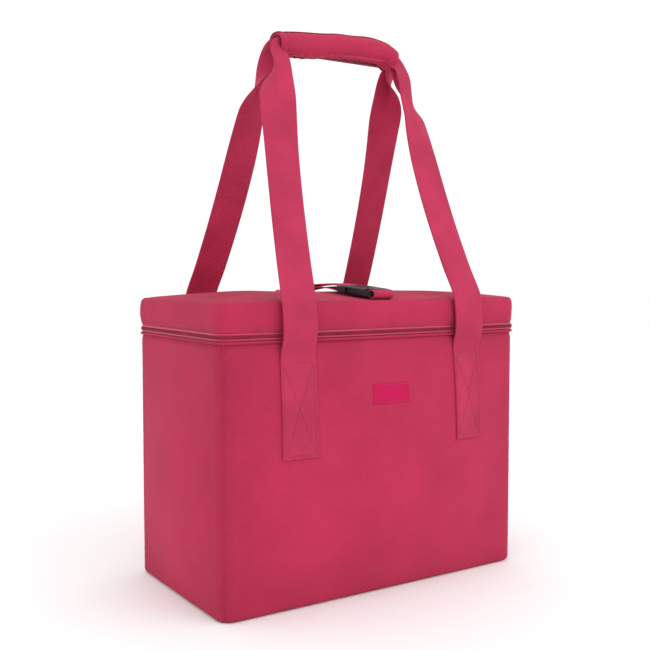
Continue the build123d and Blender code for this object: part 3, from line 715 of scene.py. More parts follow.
def gel_finish(name, colour):
    """Freezer gel in a clear film, with soft pillows and a wet shine."""
    nodes = Nodes(name)
    solid = nodes.coordinates("Object")
    swirl = nodes.noise(solid, 26.0, 4.0, 0.6)
    tint = nodes.ramp(swirl, 0.3, 0.7, (shade_of(colour, 0.8), shade_of(colour, 1.15)))
    return nodes.finish(
        tint, nodes.bump(swirl, 0.0015, 0.8), nodes.math("ADD", nodes.math("MULTIPLY", swirl, 0.15), 0.12),
        transmission_weight=0.25, ior=1.35, coat_weight=0.5, coat_roughness=0.1)


def board_finish(name, colour):
    """Pressed board that stiffens the base."""
    nodes = Nodes(name)
    solid = nodes.coordinates("Object", (1, 1, 6))
    fibres = nodes.noise(solid, 300.0, 6.0, 0.75)
    tint = nodes.ramp(fibres, 0.3, 0.7, (shade_of(colour, 0.75), shade_of(colour, 1.2)))
    return nodes.finish(tint, nodes.bump(fibres, 0.0002), 0.8)


def nap_finish(name, colour, depth):
    """Hook or loop tape: a dense nap."""
    nodes = Nodes(name)
    solid = nodes.coordinates("Object")
    nap = nodes.noise(solid, 1400.0, 4.0, 0.8)
    tint = nodes.ramp(nap, 0.3, 0.7, (shade_of(colour, 0.6), shade_of(colour, 1.2)))
    return nodes.finish(tint, nodes.bump(nap, depth), 0.8, sheen_weight=0.5)


def finishes(colours):
    """Every material by its short name, made once."""
    if FINISHES:
        return FINISHES
    FINISHES.update({
        "fabric": cloth_finish("woven_polyester", colours.fabric),
        "binding_tape": cloth_finish(
            "binding_tape", shade_of(colours.fabric, 0.95), 0.0011, 0.0003, spread=0.1),
        "webbing": webbing_finish("ribbed_webbing", colours.webbing),
        "tape": tape_finish("zip_tape_twill", colours.tape),
        "coil": plastic_finish("zip_coil_nylon", shade_of(colours.tape, 0.42), 0.5),
        "thread": thread_finish("sewing_thread", colours.thread),
        "label": cloth_finish("woven_label", colours.label, 0.0006, 0.0001, spread=0.06, sheen=0.1),
        "buckle": plastic_finish("buckle_nylon", colours.plastic),
        "slider": painted_metal_finish("slider_lacquer", colours.slider),
        "lining": film_finish("lining_film", colours.lining),
        "foam": foam_finish("white_foam", (0.78, 0.78, 0.74)),
        "gel": gel_finish("freezer_gel", (0.35, 0.55, 0.75)),
        "board": board_finish("pressed_board", (0.20, 0.15, 0.10)),
        "nap": nap_finish("hook_and_loop_nap", shade_of(colours.webbing, 0.7), 0.0006),
    })
    return FINISHES


# ---- Body of the bag
def wall_surface(turn, height, sizes):
    """The outside of the walls: bowed, softly waved, drawn in at the seams, tucked in at the top."""
    foot = 0.0055
    below = np.clip((foot - height) / foot, 0, 1)
    inset = foot * (1 - np.sqrt(np.clip(1 - below ** 2, 0, 1)))
    inset = inset + 0.0012 * ease(WALL_TOP - 0.005, WALL_TOP, height)
    points = wall_point(turn, inset, height)
    normal = outward(turn)
    from_seam = np.abs(np.mod(turn + 0.5, 1) - 0.5)
    side_length = np.where(np.floor(np.mod(turn, 4)) % 2 == 0, WIDTH, DEPTH)
    seam_way = from_seam * side_length
    calm = ease(0.0, 0.02, seam_way) * ease(0.0, 0.02, height) * ease(0.0, 0.03, WALL_TOP - height)
    waves = sizes.wrinkle * (
        0.6 * ripple(points, 0.15, sizes.seed) + 0.2 * ripple(points, 0.055, sizes.seed + 1) + 0.2)
    pucker = 0.25 * np.sin(height * 2 * np.pi / 0.011 + 3 * ripple(points, 0.05, sizes.seed + 2))
    sink = sizes.seam * np.exp(-((seam_way / 0.0022) ** 2)) * (1 + pucker * 0.4)
    drawn = 0.00045 * pucker * np.exp(-((seam_way / 0.009) ** 2))
    offset = waves * calm - sink + drawn
    return points + normal * offset[:, None], normal


class TOTE_OT_walls(bpy.types.Operator):
    """Padded fabric walls, one cover for each side, sewn at the corners, and the cover under the base"""

    bl_idname = "tote.walls"
    bl_label = "Walls and base"

    def execute(self, context):
        scene = context.scene
        sizes = scene.tote_sizes
        made = finishes(scene.tote_colours)
        fabric = made["fabric"]
        low, high = 0.0004, WALL_TOP + 0.0004
        foam_low, foam_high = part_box("front_foam")[0][2] + 0.002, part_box("front_foam")[1][2]
        for side, number in SIDES.items():
            length = WIDTH if number % 2 == 0 else DEPTH
            across = int(length / sizes.cell)
            up = int((high - low) / sizes.cell)

            def place(u, v):
                # Cells are closer together near the seams and the foot.
                u = u + 0.09 * np.sin(-2 * np.pi * u) * 0.9
                v = v - 0.07 * np.sin(2 * np.pi * v)
                return wall_surface(number + np.clip(u, 0, 0.99999), low + v * (high - low), sizes)[0]

            cover = grid_piece(f"{side}_cover", across, up, place, (length, high - low))
            thicken(cover, sizes.fabric)
            smooth(cover)
            finish_piece(cover, fabric, "bag_body", [f"{side}_panel"])

            def place_foam(u, v):
                turn = number + 0.012 + np.clip(u, 0, 1) * 0.976
                height = foam_low + v * (foam_high - foam_low)
                points, normal = wall_surface(turn, height, sizes)
                return points - normal * 0.0013

            foam = grid_piece(f"{side}_padding", across // 2, up // 2, place_foam, (length, high - low))
            thicken(foam, 0.0055)
            round_edges(foam, 0.0012, 2)
            smooth(foam)
            finish_piece(foam, made["foam"], "bag_body", [f"{side}_foam"])
        stations = [(INNERMOST, 0.0012), (0.06, 0.0011), (0.03, 0.0007), (0.012, 0.0002), (0.0062, 0.0),
                    (0.0042, 0.0004), (0.0036, 0.0012)]
        base = ring_piece("base_cover", stations, wall_point, across=180, up=18)
        thicken(base, sizes.fabric)
        smooth(base)
        finish_piece(base, fabric, "bag_body", ["base_panel"])
        return {"FINISHED"}


class TOTE_OT_mouth(bpy.types.Operator):
    """Welt round the mouth, its bound edge inside, and the cloth hinge at the back"""

    bl_idname = "tote.mouth"
    bl_label = "Mouth and hinge"

    def execute(self, context):
        scene = context.scene
        sizes = scene.tote_sizes
        made = finishes(scene.tote_colours)
        middle = (PIPING_LOW[2] + PIPING_HIGH[2]) / 2
        radius = (PIPING_HIGH[2] - PIPING_LOW[2]) / 2
        around = np.linspace(-np.pi / 2, 1.5 * np.pi, 13)
        centre = radius - 0.0016
        stations = [(centre - radius * np.cos(a), middle + radius * np.sin(a)) for a in around]
        welt = ring_piece("mouth_welt", stations, lid_point, across=360, up=12)
        face_out(welt)
        smooth(welt, 80)
        finish_piece(welt, made["binding_tape"], "bag_body", ["mouth_piping"])

        low, high = BINDING_LOW[2], BINDING_HIGH[2]
        out, inner = 0.0026, 0.0129
        roll = [(out, low), (out, high - 0.002), (out + 0.0012, high - 0.0004), (out + 0.004, high),
                (inner - 0.004, high), (inner - 0.0012, high - 0.0005), (inner, high - 0.0024),
                (inner, low + 0.0004), (inner - 0.0008, low), (out, low)]
        binding = ring_piece("mouth_edge_binding", roll, lid_point, across=300, up=30)
        face_out(binding)
        smooth(binding, 60)
        finish_piece(binding, made["binding_tape"], "bag_body", ["mouth_binding"])
        turns = np.linspace(0, 4, 500)
        row = lid_point(turns, np.full(500, inner), np.full(500, low + 0.0014))
        stitch_row("mouth_edge_stitches", row, -outward(turns), sizes, made["thread"], "bag_body")

        hinge_low, hinge_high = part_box("hinge_strip")
        beyond_zip = ZIP_END + 0.0040
        span = (turn_at(1, beyond_zip), turn_at(3, -beyond_zip))
        fold = [(0.0011, hinge_low[2]), (0.0004, hinge_low[2] + 0.001), (0.0, 0.2715), (0.0, 0.2742),
                (0.0004, hinge_high[2] - 0.001), (0.0011, hinge_high[2])]
        hinge = ring_piece("hinge_cloth", fold, lid_point, across=160, up=10, span=span)
        thicken(hinge, sizes.fabric)
        smooth(hinge)
        finish_piece(
            hinge, made["fabric"], "bag_body", ["hinge_strip"],
            blend=("bag_body", "lid", (0, HINGE_Y, hinge_low[2] + HINGE_HEM),
                   (0, HINGE_Y, hinge_high[2] - HINGE_HEM)))
        return {"FINISHED"}


class TOTE_OT_zip(bpy.types.Operator):
    """Tapes, coil turns, end stops, slider and pull of the zip"""

    bl_idname = "tote.zip"
    bl_label = "Zip"

    def execute(self, context):
        scene = context.scene
        sizes = scene.tote_sizes
        made = finishes(scene.tote_colours)
        span = (turn_at(3, -ZIP_END) - 4, turn_at(1, ZIP_END))
        coil_low, coil_middle = LOWER_COIL_LOW[2], (LOWER_COIL_HIGH[2] + UPPER_COIL_LOW[2]) / 2
        coil_top = UPPER_COIL_HIGH[2]
        lower = [(0.0019, WALL_TOP - 0.0055), (0.0019, PIPING_HIGH[2]), (0.0004, PIPING_HIGH[2] + 0.0005),
                 (-0.0006, PIPING_HIGH[2] + 0.0013), (-0.0006, coil_low - 0.0005), (0.0002, coil_low),
                 (0.0008, coil_low + 0.0006), (0.0008, coil_middle - 0.0002)]
        upper = [(0.0008, coil_middle + 0.0002), (0.0008, coil_top - 0.0006), (0.0002, coil_top),
                 (-0.0006, coil_top + 0.0005), (-0.0006, SEAM_LOW[2] - 0.0012),
                 (0.0004, SEAM_LOW[2] - 0.0005),
                 (0.0019, SEAM_LOW[2] + 0.0002), (0.0019, SEAM_LOW[2] + 0.0055)]
        for name, stations, body, node in (
                ("lower_tape", lower, "bag_body", "lower_zip_tape"),
                ("upper_tape", upper, "lid", "upper_zip_tape")):
            tape = ring_piece(name, stations, lid_point, across=330, up=18, span=span)
            thicken(tape, 0.0006)
            smooth(tape, 60)
            finish_piece(tape, made["tape"], body, [node])

        def one_turn():
            bpy.ops.mesh.primitive_cube_add(size=1)
            bpy.ops.object.mode_set(mode="EDIT")
            bpy.ops.mesh.select_all(action="SELECT")
            bpy.ops.transform.resize(value=(0.0010, 0.0019, 0.0011))
            bpy.ops.mesh.bevel(offset=0.0003, segments=1, affect="EDGES")
            bpy.ops.object.mode_set(mode="OBJECT")

        turn_shape = small_shape(one_turn)
        length = 2 * DEPTH + WIDTH
        count = int(length / sizes.tooth_pitch)
        for name, body, node, shift, low, lean in (
                ("lower_coil", "bag_body", "lower_zip_coil", 0.25, coil_low, 0.35),
                ("upper_coil", "lid", "upper_zip_coil", 0.75, coil_middle - 0.0002, -0.35)):
            dense = np.linspace(span[0], span[1], 1500)
            path = lid_point(dense, np.full(1500, -0.0007), np.full(1500, low + 0.00085))
            steps = np.concatenate([[0], np.cumsum(np.linalg.norm(np.diff(path, axis=0), axis=1))])
            at = (np.arange(count) + shift) * steps[-1] / count
            turns = np.interp(at, steps, dense)
            places = np.stack([np.interp(at, steps, column) for column in path.T], axis=1)
            out = outward(turns)
            level = unit(np.cross(np.tile([0.0, 0.0, 1.0], (count, 1)), out))
            along = unit(level + np.tile([0.0, 0.0, lean], (count, 1)))
            coil = repeat(name, turn_shape, places, along, out)
            finish_piece(coil, made["coil"], body, [node])
        for node in ("zip_stops", "zip_slider", "zip_pull"):
            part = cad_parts[node]
            part.data.materials.clear()
            part.data.materials.append(made["slider"])
        return {"FINISHED"}


# ---- Lid
def lid_top_surface(turn, inset, sizes):
    """The padded top: a pillow that the strap and the buckle press down along its middle."""
    points = lid_point(turn, inset, np.zeros(len(turn)))
    share = np.clip(inset / CROWN_RUN, 0, 1)
    plain = CROWN_RISE * share
    full = CROWN_RISE * (1 - (1 - share) ** 1.7) + 0.0008 * np.sin(np.pi * share)
    calm = ease(0.0, 0.025, inset)
    broad, fine = ripple(points, 0.13, sizes.seed + 3), ripple(points, 0.05, sizes.seed + 4)
    soft = (0.0011 * broad + 0.0004 * fine) * calm
    from_strap = np.abs(points[:, 0])
    free = ease(0.016, 0.060, from_strap)
    pressed = -0.0004 * ease(0.0, 0.01, inset)
    roll = -0.0016 * np.exp(-((inset / 0.0013) ** 2))
    points[:, 2] = LID_EDGE + plain + (full - plain + soft) * free + pressed * (1 - free) + roll
    return points


class TOTE_OT_lid(bpy.types.Operator):
    """Padded top of the lid and the fabric side below it"""

    bl_idname = "tote.lid"
    bl_label = "Lid"

    def execute(self, context):
        scene = context.scene
        sizes = scene.tote_sizes
        made = finishes(scene.tote_colours)
        across, rows = 300, 44

        def place_top(u, v):
            inset = 0.0002 + (DEPTH / 2 - 0.0003) * v ** 1.5
            return lid_top_surface(u * 4, inset, sizes)

        top = grid_piece("lid_top_cover", across, rows, place_top, (2 * (WIDTH + DEPTH), DEPTH / 2))
        close_seams(top, 2e-4)
        thicken(top, sizes.fabric)
        smooth(top)
        finish_piece(top, made["fabric"], "lid", ["lid_top"])

        low, high = SEAM_LOW[2], LID_EDGE
        stations = [(0.0024, low + 0.0012), (0.0014, low - 0.0002), (0.0002, low), (-0.0001, low + 0.0016),
                    (-0.0004, low + 0.003), (-0.0012, low + 0.009), (-0.0014, (low + high) / 2),
                    (-0.0012, high - 0.008), (-0.0006, high - 0.003), (0.0004, high - 0.0009),
                    (0.0018, high - 0.0004), (0.003, high - 0.0014)]
        section, length = profile(stations)

        def place_skirt(u, v):
            inset, height = section(v)
            points = lid_point(u * 4, inset, height)
            middle = np.sin(np.pi * np.clip((height - low) / (high - low), 0, 1))
            from_corner = np.abs(np.mod(u * 4 + 0.5, 1) - 0.5)
            drawn = 0.0006 * np.exp(-((from_corner / 0.05) ** 2))
            broad, fine = ripple(points, 0.08, sizes.seed + 5), ripple(points, 0.03, sizes.seed + 6)
            waves = 0.0007 * broad + 0.0003 * fine
            return points + outward(u * 4) * ((waves - drawn) * middle)[:, None]

        skirt = grid_piece("lid_side_cover", 340, 22, place_skirt, (2 * (WIDTH + DEPTH), length))
        close_seams(skirt)
        thicken(skirt, 0.0008)
        smooth(skirt)
        finish_piece(skirt, made["fabric"], "lid", ["lid_skirt"])

        turns = np.linspace(0, 4, 900)
        row = lid_point(turns, np.full(900, -0.0005), np.full(900, low + 0.0034))
        stitch_row("lid_side_stitches", row, outward(turns), sizes, made["thread"], "lid", sink=0.1)
        return {"FINISHED"}


class TOTE_OT_lining(bpy.types.Operator):
    """Lining of the bag and of the lid, the lid's bound inner edge, and the padding inside the walls"""

    bl_idname = "tote.lining"
    bl_label = "Lining and padding"

    def execute(self, context):
        scene = context.scene
        sizes = scene.tote_sizes
        made = finishes(scene.tote_colours)
        floor, top = LINER_LOW[2] + 0.0008, LINER_HIGH[2]
        inner = 0.0131
        section, length = profile([
            (INNERMOST, floor + 0.0002), (0.05, floor), (inner + 0.006, floor + 0.0003),
            (inner + 0.0018, floor + 0.0018), (inner, floor + 0.006),
            (inner, 0.1), (inner, 0.2), (inner, top)])

        def place(u, v):
            inset, height = section(v)
            turn = u * 4
            points = wall_point(turn, inset, height)
            from_seam = np.abs(np.mod(turn + 0.5, 1) - 0.5)
            calm = ease(0.0, 0.08, from_seam) * ease(0.0, 0.02, top - height)
            loose = 0.0006 * ripple(points, 0.045, sizes.seed + 8) - 0.0006
            inwards = np.where(height > floor + 0.006, 1.0, 0.0)
            return points - outward(turn) * (np.abs(loose) * calm * inwards * 0.8)[:, None]

        lining = grid_piece("bag_lining", 260, 90, place, (2 * (WIDTH + DEPTH), length))
        close_seams(lining, 2e-4)
        turn_over(lining)
        thicken(lining, 0.0007)
        smooth(lining)
        finish_piece(lining, made["lining"], "bag_body", ["liner"])

        low, high = LID_LINER_LOW[2], LID_LINER_HIGH[2]
        out = 0.0086
        cap = ring_piece("lid_lining", [
            (out - 0.0001, low), (out, low + 0.004), (out + 0.0002, high - 0.0035),
            (out + 0.0012, high - 0.0014),
            (out + 0.004, high - 0.0009), (0.04, high - 0.0009), (INNERMOST, high - 0.0009)],
            lid_point, across=260, up=40)
        close_seams(cap, 2e-4)
        turn_over(cap)
        thicken(cap, 0.0007)
        smooth(cap)
        finish_piece(cap, made["lining"], "lid", ["lid_liner"])

        edge_low, edge_high = LID_BINDING_LOW[2], LID_BINDING_HIGH[2]
        half = (edge_high - edge_low) / 2
        ring = [(0.0030, edge_low + half), (0.0036, edge_low + 0.0002), (0.0080, edge_low + 0.0002),
                (0.0084, edge_low + half), (0.0080, edge_high), (0.0036, edge_high),
                (0.0030, edge_low + half)]
        binding = ring_piece("lid_edge_binding", ring, lid_point, across=300, up=18)
        face_out(binding)
        smooth(binding, 70)
        finish_piece(binding, made["binding_tape"], "lid", ["lid_binding"])
        finish_of = {"_foam": "foam", "gel_panel": "gel", "base_board": "board"}
        for name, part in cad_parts.items():
            for ending, finish in finish_of.items():
                if name.endswith(ending):
                    part.data.materials.clear()
                    part.data.materials.append(made[finish])
        return {"FINISHED"}


# ---- Handles
STRAP_X = 0.108
PIVOT_Y, PIVOT_Z = DEPTH / 2 + 0.008, 0.2525
PATCH_LOW, PATCH_TOP = STRAP_END_LOW[2], STRAP_END_HIGH[2]
GRIP_X = (GRIP_LOW[0] + GRIP_HIGH[0]) / 2
GRIP_Z = (GRIP_LOW[2] + GRIP_HIGH[2]) / 2
GRIP_HALF = (GRIP_HIGH[0] - GRIP_LOW[0]) / 2
GRIP_RADIUS = 0.0147
WRAP_SHARES = np.linspace(0, 1, 101)
WRAP_KNOTS = (0, 0.15, 0.3, 0.48, 0.68, 0.82, 0.9, 0.96, 1)
WRAP_KNOT_RISES = (-0.0056, -0.0036, -0.0012, 0.0018, 0.0032, 0.0034, 0.0022, -0.0010, -0.0060)
WRAP_RISES = np.convolve(
    np.interp(np.linspace(-0.03, 1.03, 107), WRAP_KNOTS, WRAP_KNOT_RISES), np.ones(7) / 7, "valid")
LEG_LOW, LEG_HIGH = 0.3082, 0.5660
LEG_TOP_X = 0.087
STRAP_LEAN = 0.38
TWIST_POWER = 6.0
TWIST = 85.0
BEND_WINDOW = 3
BEND_SHARE = 0.6
LEAST_BEND = 1.0
FOLD_BELOW, FOLD_ABOVE = 0.003, 0.004
SEW_FROM_END = 0.0085
WRAP_OPENING = np.radians(35)
FLAP_START, FLAP_END = np.radians(-62), np.radians(101)
FLAP_BEND = 0.0088


def wall_y(x, height, sizes):
    """How far out the front cover stands at places."""
    x = np.atleast_1d(np.asarray(x, float))
    height = np.broadcast_to(height, x.shape)
    return -wall_surface(turn_at(0, x), height, sizes)[0][:, 1]


def leg_rows(side, sizes):
    """Stations up one strap of the front handle: x, y, z, twist in degrees, fold from 0 to 1."""
    x = side * STRAP_X
    lift = sizes.webbing / 2 + 0.0002
    rows = []
    for height in (PATCH_LOW, 0.170, 0.190, 0.210, 0.230, PATCH_TOP - 0.004):
        rows.append((x, -wall_y(x, height, sizes)[0] - lift, height, 0, 0))
    rows += [(x, -PIVOT_Y - 0.0004, 0.2590, 0, 0), (x, -PIVOT_Y - 0.0026, 0.2720, 0, 0),
             (x, -PIVOT_Y - 0.0026, 0.2860, 0, 0), (x, -PIVOT_Y - 0.0014, 0.2980, 0, 0)]
    edge_y = DEPTH / 2 + 0.0075
    for share in (0, 0.13, 0.3, 0.46, 0.62, 0.78, 0.88, 0.96):
        eased = share + STRAP_LEAN * share * (1 - share)
        fold = ease(0.78, 1.04, np.array([share]))[0]
        rows.append((
            side * (STRAP_X + (LEG_TOP_X - STRAP_X) * eased) + GRIP_X * share,
            -edge_y + (edge_y - 0.015) * eased,
            LEG_LOW + (LEG_HIGH - LEG_LOW) * share,
            TWIST * share ** TWIST_POWER, 0.93 * fold))
    return rows


def grip_line(side):
    """Stations of the webbing as it turns into the wrap on one side."""
    end = WRAP_RISES[-1] if side > 0 else WRAP_RISES[0]
    inner = WRAP_RISES[-14] if side > 0 else WRAP_RISES[13]
    middle = WRAP_RISES[-34] if side > 0 else WRAP_RISES[33]
    return [
        (side * (GRIP_HALF + 0.0085) + GRIP_X, -0.0088, GRIP_Z + end - 0.0075, 88, 0.95),
        (side * (GRIP_HALF + 0.0030) + GRIP_X, -0.0058, GRIP_Z + end + 0.0015, 90, 0.98),
        (side * (GRIP_HALF - 0.0070) + GRIP_X, -0.0050, GRIP_Z + inner + 0.0030, 90, 0.98),
        (side * (GRIP_HALF - 0.0250) + GRIP_X, -0.0048, GRIP_Z + middle + 0.0030, 90, 0.98),
    ]


def fold_section(columns, width, fold):
    """Places across the webbing, flat at fold 0 and doubled lengthwise at fold 1: across and inwards."""
    q = (columns - 0.5) * width
    half_opening = np.pi / 2 * (1 - 0.93 * fold)
    soft = 0.0022 * ease(0.0, 0.6, fold) + 1e-6
    reach = np.sqrt(q ** 2 + soft ** 2) - soft
    lip = np.sign(q) * np.minimum(np.abs(q), soft) * 0.35 * fold
    across = np.sign(q) * reach * np.sin(half_opening) + lip
    inwards = reach * np.cos(half_opening)
    return across, inwards


def bend_room(along, towards, centre):
    """How far the webbing may reach towards the inside of each bend before it would cross itself."""
    steps = np.linalg.norm(np.gradient(centre, axis=0), axis=1)
    bend = np.sum(np.gradient(along, axis=0) * towards, axis=1) / np.maximum(steps, 1e-9)
    window = np.ones(BEND_WINDOW) / BEND_WINDOW
    padded = np.pad(bend, BEND_WINDOW // 2, mode="edge")
    bend = np.convolve(padded, window, "valid")
    return BEND_SHARE / np.maximum(bend, LEAST_BEND)


def webbing_strip(name, rows, count, columns, width, thickness, lay=None):
    """A webbing whose centre line, twist and lengthwise fold are given by rows. lay may press its
    points onto what it lies on."""
    line, length = smooth_path(rows, count)
    centre = line[:, :3]
    across = line[:, 5:8]
    along, level, out = path_frames(centre, across)
    fold = np.clip(line[:, 4], 0, 1)
    room = [bend_room(along, -out, centre), bend_room(along, out, centre),
            bend_room(along, level, centre), bend_room(along, -level, centre)]

    def place(u, v):
        row = np.rint(u * (count - 1)).astype(int)
        side, inwards = fold_section(v, width, fold[row])
        side = np.clip(side, -room[3][row], room[2][row])
        middle = inwards * 0.5
        cup = 0.0006 * (2 * v - 1) ** 2
        shift = inwards - 0.3 * middle.max() * fold[row] + cup
        shift = np.clip(shift, -room[1][row], room[0][row])
        points = centre[row] + level[row] * side[:, None] - out[row] * shift[:, None]
        return lay(points) if lay else points

    strip = grid_piece(name, count - 1, columns, place, (length, width))
    thicken(strip, thickness, 0.0)
    round_edges(strip, thickness * 0.28, 2)
    smooth(strip, 50)
    return strip, line


def with_across(rows, side):
    """Adds the direction across the strap to each station."""
    placed = []
    for x, y, z, twist, fold in rows:
        turn = np.radians(twist)
        placed.append((x, y, z, twist, fold, -side * np.cos(turn), -np.sin(turn), 0.0))
    return placed


def patch_points(side, sizes, corners):
    """Points of a sewing line on a strap's sewn end: corners are (across, height)."""
    points = []
    for (x0, z0), (x1, z1) in zip(corners, corners[1:]):
        for share in np.linspace(0, 1, 24, endpoint=False):
            points.append((x0 + (x1 - x0) * share, z0 + (z1 - z0) * share))
    points.append(corners[-1])
    points = np.array(points)
    x = side * STRAP_X + points[:, 0]
    y = -wall_y(x, points[:, 1], sizes) - sizes.webbing - 0.0003
    return np.stack([x, y, points[:, 1]], axis=1)


class TOTE_OT_handles(bpy.types.Operator):
    """Both webbing handles with their sewn ends, folded where they enter the grip"""

    bl_idname = "tote.handles"
    bl_label = "Handles"

    def execute(self, context):
        scene = context.scene
        sizes = scene.tote_sizes
        made = finishes(scene.tote_colours)
        left = with_across(leg_rows(-1, sizes) + grip_line(-1), -1)
        right = with_across(leg_rows(1, sizes) + grip_line(1), 1)
        rows = left + right[::-1]

        def on_wall(points):
            """Lays the sewn ends on the front cover."""
            low_down = points[:, 2] < PIVOT_Z + 0.02
            near = np.clip(points[:, 0], -WIDTH / 2 + CORNER, WIDTH / 2 - CORNER)
            wall = -wall_y(near, points[:, 2], sizes) - sizes.webbing / 2 - 0.0002
            sewn = np.where(low_down, 1 - ease(PATCH_TOP - 0.010, PATCH_TOP + 0.020, points[:, 2]), 0)
            points[:, 1] += (wall - points[:, 1]) * sewn
            return points

        for name, body, nodes, mirrored in (
                ("front_handle_strap", "front_handle", ["front_handle_webbing", "front_strap_ends"], False),
                ("back_handle_strap", "back_handle", ["back_handle_webbing", "back_strap_ends"], True)):
            strip, _ = webbing_strip(name, rows, 340, 16, sizes.webbing_width, sizes.webbing, on_wall)
            sign = -1
            if mirrored:
                take(strip)
                bpy.ops.object.mode_set(mode="EDIT")
                bpy.ops.mesh.select_all(action="SELECT")
                bpy.ops.transform.resize(value=(1, -1, 1), center_override=(0, 0, 0))
                bpy.ops.mesh.flip_normals()
                bpy.ops.object.mode_set(mode="OBJECT")
                sign = 1
            finish_piece(
                strip, made["webbing"], body, nodes,
                blend=("bag_body", body, (0, sign * PIVOT_Y, PIVOT_Z - FOLD_BELOW),
                       (0, sign * PIVOT_Y, PIVOT_Z + FOLD_ABOVE)))
        edge, top, low = 0.0165, PATCH_TOP - 0.0045, PATCH_LOW + 0.003
        lines = {
            "box": [(-edge, low), (edge, low), (edge, top), (-edge, top), (-edge, low)],
            "cross_a": [(-edge, top), (edge, low)],
            "cross_b": [(edge, top), (-edge, low)],
        }
        for end, flip in (("front", 1), ("back", -1)):
            for side_name, side in (("left", -1), ("right", 1)):
                for line_name, corners in lines.items():
                    points = patch_points(side, sizes, corners) * np.array([1, flip, 1])
                    out = np.tile([0.0, -flip, 0.0], (len(points), 1))
                    stitch_row(f"{end}_{side_name}_{line_name}_stitches", points, out, sizes,
                               made["thread"], "bag_body", sink=0.4)
        return {"FINISHED"}


def wrap_line(share):
    """Centre line of the wrap: low at the left end, arched, and bent down at the right end."""
    x = GRIP_X - GRIP_HALF + share * 2 * GRIP_HALF
    rise = np.interp(share, WRAP_SHARES, WRAP_RISES)
    past = np.clip((share - 0.86) / 0.14, 0, 1)
    return np.stack([x - 0.0015 * past ** 2, np.zeros_like(x), GRIP_Z + rise], axis=1)


def wrap_surface(u, angle, radius, sizes, wrinkle=1.0):
    """Points of the wrap at a share along it and an angle round it, from the back upwards."""
    centre = wrap_line(u)
    slope = np.gradient(wrap_line(np.linspace(0, 1, 201)), axis=0)
    along = unit(np.stack([np.interp(u, np.linspace(0, 1, 201), column) for column in slope.T], axis=1))
    back = np.tile([0.0, 1.0, 0.0], (len(u), 1))
    up = np.cross(along, back)
    below = np.clip(-np.sin(angle), 0, 1) ** 1.5
    x = centre[:, 0]
    folds = 0.0004 * np.sin(x * 2 * np.pi / 0.0115 + 1.6 * np.sin(x * 2 * np.pi / 0.043)) * below
    spots = np.stack([x, radius * np.cos(angle), radius * np.sin(angle)], axis=1)
    soft = 0.0004 * ripple(spots, 0.03, sizes.seed + 9)
    end = np.minimum(u, 1 - u) * 2 * GRIP_HALF
    tuck = 0.0012 * np.exp(-(end / 0.0016) ** 2)
    groove = 0.0005 * np.exp(-((end - SEW_FROM_END) / 0.0013) ** 2)
    oval = 1 + 0.05 * np.cos(2 * angle)
    reach = radius * oval + (folds + soft - 0.0004) * wrinkle - tuck - groove
    return centre + back * (reach * np.cos(angle))[:, None] + up * (reach * np.sin(angle))[:, None]


class TOTE_OT_grip(bpy.types.Operator):
    """Padded wrap round the two handles, with the flap that closes it"""

    bl_idname = "tote.grip"
    bl_label = "Grip wrap"

    def execute(self, context):
        scene = context.scene
        sizes = scene.tote_sizes
        made = finishes(scene.tote_colours)
        opening = WRAP_OPENING

        def place_wrap(u, v):
            return wrap_surface(u, opening + v * (2 * np.pi - 2 * opening), GRIP_RADIUS - 0.0009, sizes)

        wrap = grid_piece("grip_wrap", 110, 60, place_wrap, (2 * GRIP_HALF, 2 * np.pi * GRIP_RADIUS))
        face_side(wrap, np.array([GRIP_X, 0, GRIP_Z]))
        thicken(wrap, 0.0026)
        round_edges(wrap, 0.0006, 2)
        smooth(wrap, 60)
        finish_piece(wrap, made["fabric"], "front_handle", ["grip_cover", "grip_pad"])

        start, end = FLAP_START, FLAP_END

        def place_flap(u, v):
            edge = 0.0004 * ease(0.85, 1.0, v)
            return wrap_surface(u, start + v * (end - start), GRIP_RADIUS + 0.0009, sizes) - np.stack(
                [np.zeros_like(edge), np.zeros_like(edge), edge], axis=1)

        flap = grid_piece("grip_flap_cover", 110, 40, place_flap, (2 * GRIP_HALF, 2.9 * GRIP_RADIUS))
        face_side(flap, np.array([GRIP_X, 0, GRIP_Z]))
        thicken(flap, 0.0008)
        smooth(flap, 60)
        hinge_y, top_z = GRIP_RADIUS * np.cos(end), GRIP_Z + GRIP_RADIUS
        finish_piece(
            flap, made["fabric"], "grip_flap", ["grip_flap"],
            blend=("front_handle", "grip_flap", (0, hinge_y, top_z), (0, hinge_y + FLAP_BEND, top_z)))

        sewn = SEW_FROM_END / (2 * GRIP_HALF)
        for name, share in (("left", sewn), ("right", 1 - sewn)):
            angles = np.linspace(end + 0.05, 2 * np.pi - opening - 0.05, 80)
            points = wrap_surface(np.full(80, share), angles, GRIP_RADIUS - 0.0009, sizes)
            out = points - wrap_line(np.full(80, share))
            out[:, 0] = 0
            stitch_row(f"grip_{name}_stitches", points, unit(out), sizes, made["thread"], "front_handle",
                       sink=0.1)
        for node in ("loop_tape", "hook_tape"):
            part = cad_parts[node]
            part.data.materials.clear()
            part.data.materials.append(made["nap"])
        return {"FINISHED"}


def face_side(piece, centre):
    """Turns a curved cloth over if its faces look towards its axis."""
    mesh = piece.data
    votes = 0.0
    for face in mesh.polygons:
        away = np.array(face.center) - centre
        away[0] = 0
        votes += float(np.dot(np.array(face.normal), away))
    if votes < 0:
        turn_over(piece)


